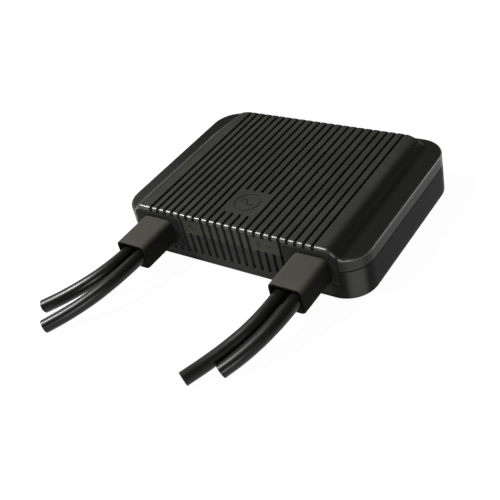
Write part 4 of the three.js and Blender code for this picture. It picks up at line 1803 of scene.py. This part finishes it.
        def on_front(u: float, v: float, level: float) -> Point:
            """A place on the front face.

            Args:
                u: place across.
                v: height.
                level: place along.

            Returns:
                The point.
            """
            return u, level, v

        left, right, near, far = self.emblem_pad
        middle, reach = (near + far) / 2, 0.36 * (right - left)
        top = (self.height - depth, self.height + 1)
        ring = [(reach * math.cos(math.tau * step / 64),
                 middle + reach * math.sin(math.tau * step / 64)) for step in range(64)]
        ribbon(skin, ring, width, *top, on_top, closed=True)
        ribbon(skin, wave(0.0, middle, 1.15 * reach, 0.36 * reach), width, *top, on_top)
        face = (-self.half_depth - 1, -self.half_depth + self.lip_step + depth)
        height = sum(self.mark_pad_levels) / 2
        spots = [(low + high) / 2 for low, high in self.mark_pads]
        ribbon(skin, wave(spots[0], height, 4.4, 0.9), width, *face, on_front)
        half, thick = 1.5, width / 2
        plus, minus = spots[1] - 2.6, spots[1] + 2.6
        arms = [(half, thick), (thick, thick), (thick, half)]
        cross = list(arms)
        for _ in range(3):
            arms = [(-z, x) for x, z in arms]
            cross += arms
        prism(skin, [(plus + x, height + z) for x, z in cross], *face, on_front)
        prism(skin, [(minus + x, height + z) for x, z in (
            (half, thick), (-half, thick), (-half, -thick), (half, -thick))], *face, on_front)
        return skin.mesh("mark_tool")

    def corners(self, inset: float) -> list[tuple[float, float]]:
        """Places at an inset from both sides, in the four corners.

        Args:
            inset: distance from the sides.

        Returns:
            The four places.
        """
        x, y = self.half_width - inset, self.half_depth - inset
        return [(-x, -y), (-x, y), (x, -y), (x, y)]

    def build(self) -> None:
        """Make, fit and dress both halves."""
        cover, base = self.cover(), self.base()
        press = self.grooves.tree()
        press.run(cover, COVER_PAINT)
        press.run(base, BASE_PAINT)
        screws = self.corners(self.boss_inset)
        carve(cover, pins("boss", screws, self.boss_radius, self.seam + self.gap / 2,
                          self.height - self.shoulder_drop - self.roof / 2), "UNION")
        carve(base, pins("boss", screws, self.boss_radius, self.floor / 2,
                         self.seam - self.gap / 2), "UNION")
        spots = [(sx * self.posts[0], sy * self.posts[1]) for sx in (-1, 1) for sy in (-1, 1)]
        carve(base, pins("post", spots, self.post_radius, self.floor / 2, self.post_top),
              "UNION")
        for half in (cover, base):
            tool = Skin()
            for gland in self.glands:
                gland.seat_tool(tool)
            carve(half, tool.mesh("seat_tool"), "DIFFERENCE")
        carve(cover, pins("bore", screws, self.screw_bore, self.seam - 1, self.screw_tip + 0.3),
              "DIFFERENCE")
        carve(base, pins("bore", screws, self.screw_bore, -1, self.seam + 1), "DIFFERENCE")
        carve(base, pins("head", screws, self.head_radius, -1, self.head_depth), "DIFFERENCE")
        carve(base, pins("pilot", spots, 1.5, self.floor, self.post_top + 1), "DIFFERENCE")
        carve(cover, self.mark_tool(), "DIFFERENCE")
        for half, node, slot, finish in (
                (cover, "top_cover", "cover_paint", COVER_PAINT),
                (base, "base_shell", "base_paint", BASE_PAINT)):
            for name in ("inward", "grooved"):
                if name in half.data.attributes:
                    half.data.attributes.remove(half.data.attributes[name])
            smooth(half, 30.0)
            finish_piece(half, slot, [node], finish)


# ---- screws and windings --------------------------------------------------------------------


@dataclass
class CoverScrews:
    """The four screws that hold the cover, driven from the underside."""

    inset_x: float = 53.8
    inset_y: float = 36.8
    head_radius: float = 2.8
    head_height: float = 1.6
    shank_radius: float = 1.5
    root_radius: float = 1.28
    tip: float = 18.6
    thread_start: float = 5.0
    thread_pitch: float = 0.5
    socket_radius: float = 1.35
    socket_depth: float = 1.0
    face: float = 0.15
    sides: int = 36

    def screw(self) -> bpy.types.Object:
        """Make one screw with a six-sided socket, its head down.

        Returns:
            The mesh object.
        """
        skin = Skin()
        turns = turns_of(self.sides)

        def circle(radius: float, z: float) -> list[int]:
            """Add a round section.

            Args:
                radius: radius of the section.
                z: its height.

            Returns:
                The numbers of its points.
            """
            return skin.row([(radius * math.cos(t), radius * math.sin(t), z) for t in turns])

        def hexagon(z: float) -> list[int]:
            """Add a six-sided section.

            Args:
                z: its height.

            Returns:
                The numbers of its points.
            """
            flat = math.pi / 3
            reach = [self.socket_radius * math.cos(flat / 2) / math.cos(t % flat - flat / 2)
                     for t in turns]
            return skin.row([(r * math.cos(t), r * math.sin(t), z)
                             for r, t in zip(reach, turns)])

        rows = [hexagon(self.face + self.socket_depth), hexagon(self.face + 0.1),
                circle(self.socket_radius + 0.15, self.face),
                circle(self.head_radius - 0.4, self.face),
                circle(self.head_radius, self.face + 0.35),
                circle(self.head_radius, self.head_height),
                circle(self.shank_radius, self.head_height),
                circle(self.shank_radius, self.thread_start)]
        z = self.thread_start
        while z < self.tip - 1.4:
            rows.append(circle(self.root_radius, z + 0.4 * self.thread_pitch))
            rows.append(circle(self.shank_radius, z + self.thread_pitch))
            z += self.thread_pitch
        rows += [circle(self.root_radius, self.tip - 0.9), circle(0.25, self.tip)]
        skin.loft(rows)
        return skin.mesh("cover_screws")

    def build(self) -> None:
        """Repeat the screw in the four corners and dress the set."""
        piece = self.screw()
        tree = Tree("screws_in_corners", {
            "Spread X": 2 * self.inset_x * MM, "Spread Y": 2 * self.inset_y * MM})
        grid = tree.nodes.add("GeometryNodeMeshGrid", {
            0: tree.inside["Spread X"], 1: tree.inside["Spread Y"], 2: 2, 3: 2}).outputs[0]
        tree.end(tree.nodes.add("GeometryNodeInstanceOnPoints", {
            "Points": grid, "Instance": tree.inside["Mesh"]}).outputs[0])
        tree.run(piece, SCREW_STEEL)
        smooth(piece, 35.0)
        finish_piece(piece, "screw_steel", [f"cover_screw_{number}" for number in range(1, 5)],
                     None)


@dataclass
class Winding:
    """A winding of flat wire on edge, turn on turn."""

    node: str
    hole_width: float
    hole_depth: float
    corner: float
    pitch: float = 0.95
    slack: float = 0.06
    rounding: float = 0.22

    def build(self) -> None:
        """Make one turn, stack the turns and dress the winding."""
        low, high = (Vector(end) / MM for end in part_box(self.node))
        middle = (low + high) / 2
        wall = (high.x - low.x - self.hole_width) / 2
        count = int((high.z - low.z) / self.pitch)
        pitch = (high.z - low.z) / count
        tall, soft = pitch - self.slack, self.rounding
        section = [(0.0, soft), (soft, 0.0), (wall - soft, 0.0), (wall, soft),
                   (wall, tall - soft), (wall - soft, tall), (soft, tall), (0.0, tall - soft)]
        skin = Skin()
        rows = []
        for grow, z in section:
            loop = rounded_loop(self.hole_width + 2 * grow, self.hole_depth + 2 * grow,
                                self.corner + grow, (middle.x, middle.y), 8)
            rows.append(skin.row([(x, y, low.z + self.slack / 2 + z) for x, y in loop]))
        skin.join([*rows, rows[0]])
        piece = skin.mesh(f"{self.node}_turns")
        tree = Tree("stack_turns", {"Pitch": pitch * MM, "Turns": float(count)})
        step = tree.nodes.add("ShaderNodeCombineXYZ", {2: tree.inside["Pitch"]}).outputs[0]
        line = tree.nodes.add("GeometryNodeMeshLine", {
            "Count": tree.inside["Turns"], "Offset": step}).outputs[0]
        tree.end(tree.nodes.add("GeometryNodeInstanceOnPoints", {
            "Points": line, "Instance": tree.inside["Mesh"]}).outputs[0])
        tree.run(piece, COPPER_WIRE)
        smooth(piece, 50.0)
        finish_piece(piece, "copper_wire", [self.node], None)


# ---- carried-over nodes ---------------------------------------------------------------------


def dress_kept_nodes() -> None:
    """Give every CAD node that keeps its shape its procedural finish."""
    for name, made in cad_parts.items():
        for start, finish in KEPT_NODES.items():
            if name.startswith(start):
                made.data.materials.clear()
                made.data.materials.append(finish.material())
                break


def main() -> None:
    """Build the studio, the leads, the glands and the housing, in that order."""
    logging.basicConfig(level=logging.INFO, format="%(message)s")
    studio = Studio()
    studio.camera()
    leads = [(lead, *lead.build()) for lead in LEADS]
    for lead, piece, line in leads:
        lead.dress(piece, line)
    glands = [Gland(side) for side in Side]
    boots = {gland.side: gland.build() for gland in glands}
    for lead, piece, line in leads:
        lead.declare(piece, line, boots[lead.side])
    Housing(glands).build()
    CoverScrews().build()
    Winding("transformer_winding", 11.2, 18.2, 1.2).build()
    Winding("output_choke_winding", 5.6, 5.6, 2.79).build()
    dress_kept_nodes()
    studio.floor()
    studio.lights()


if __name__ == "__main__":
    main()
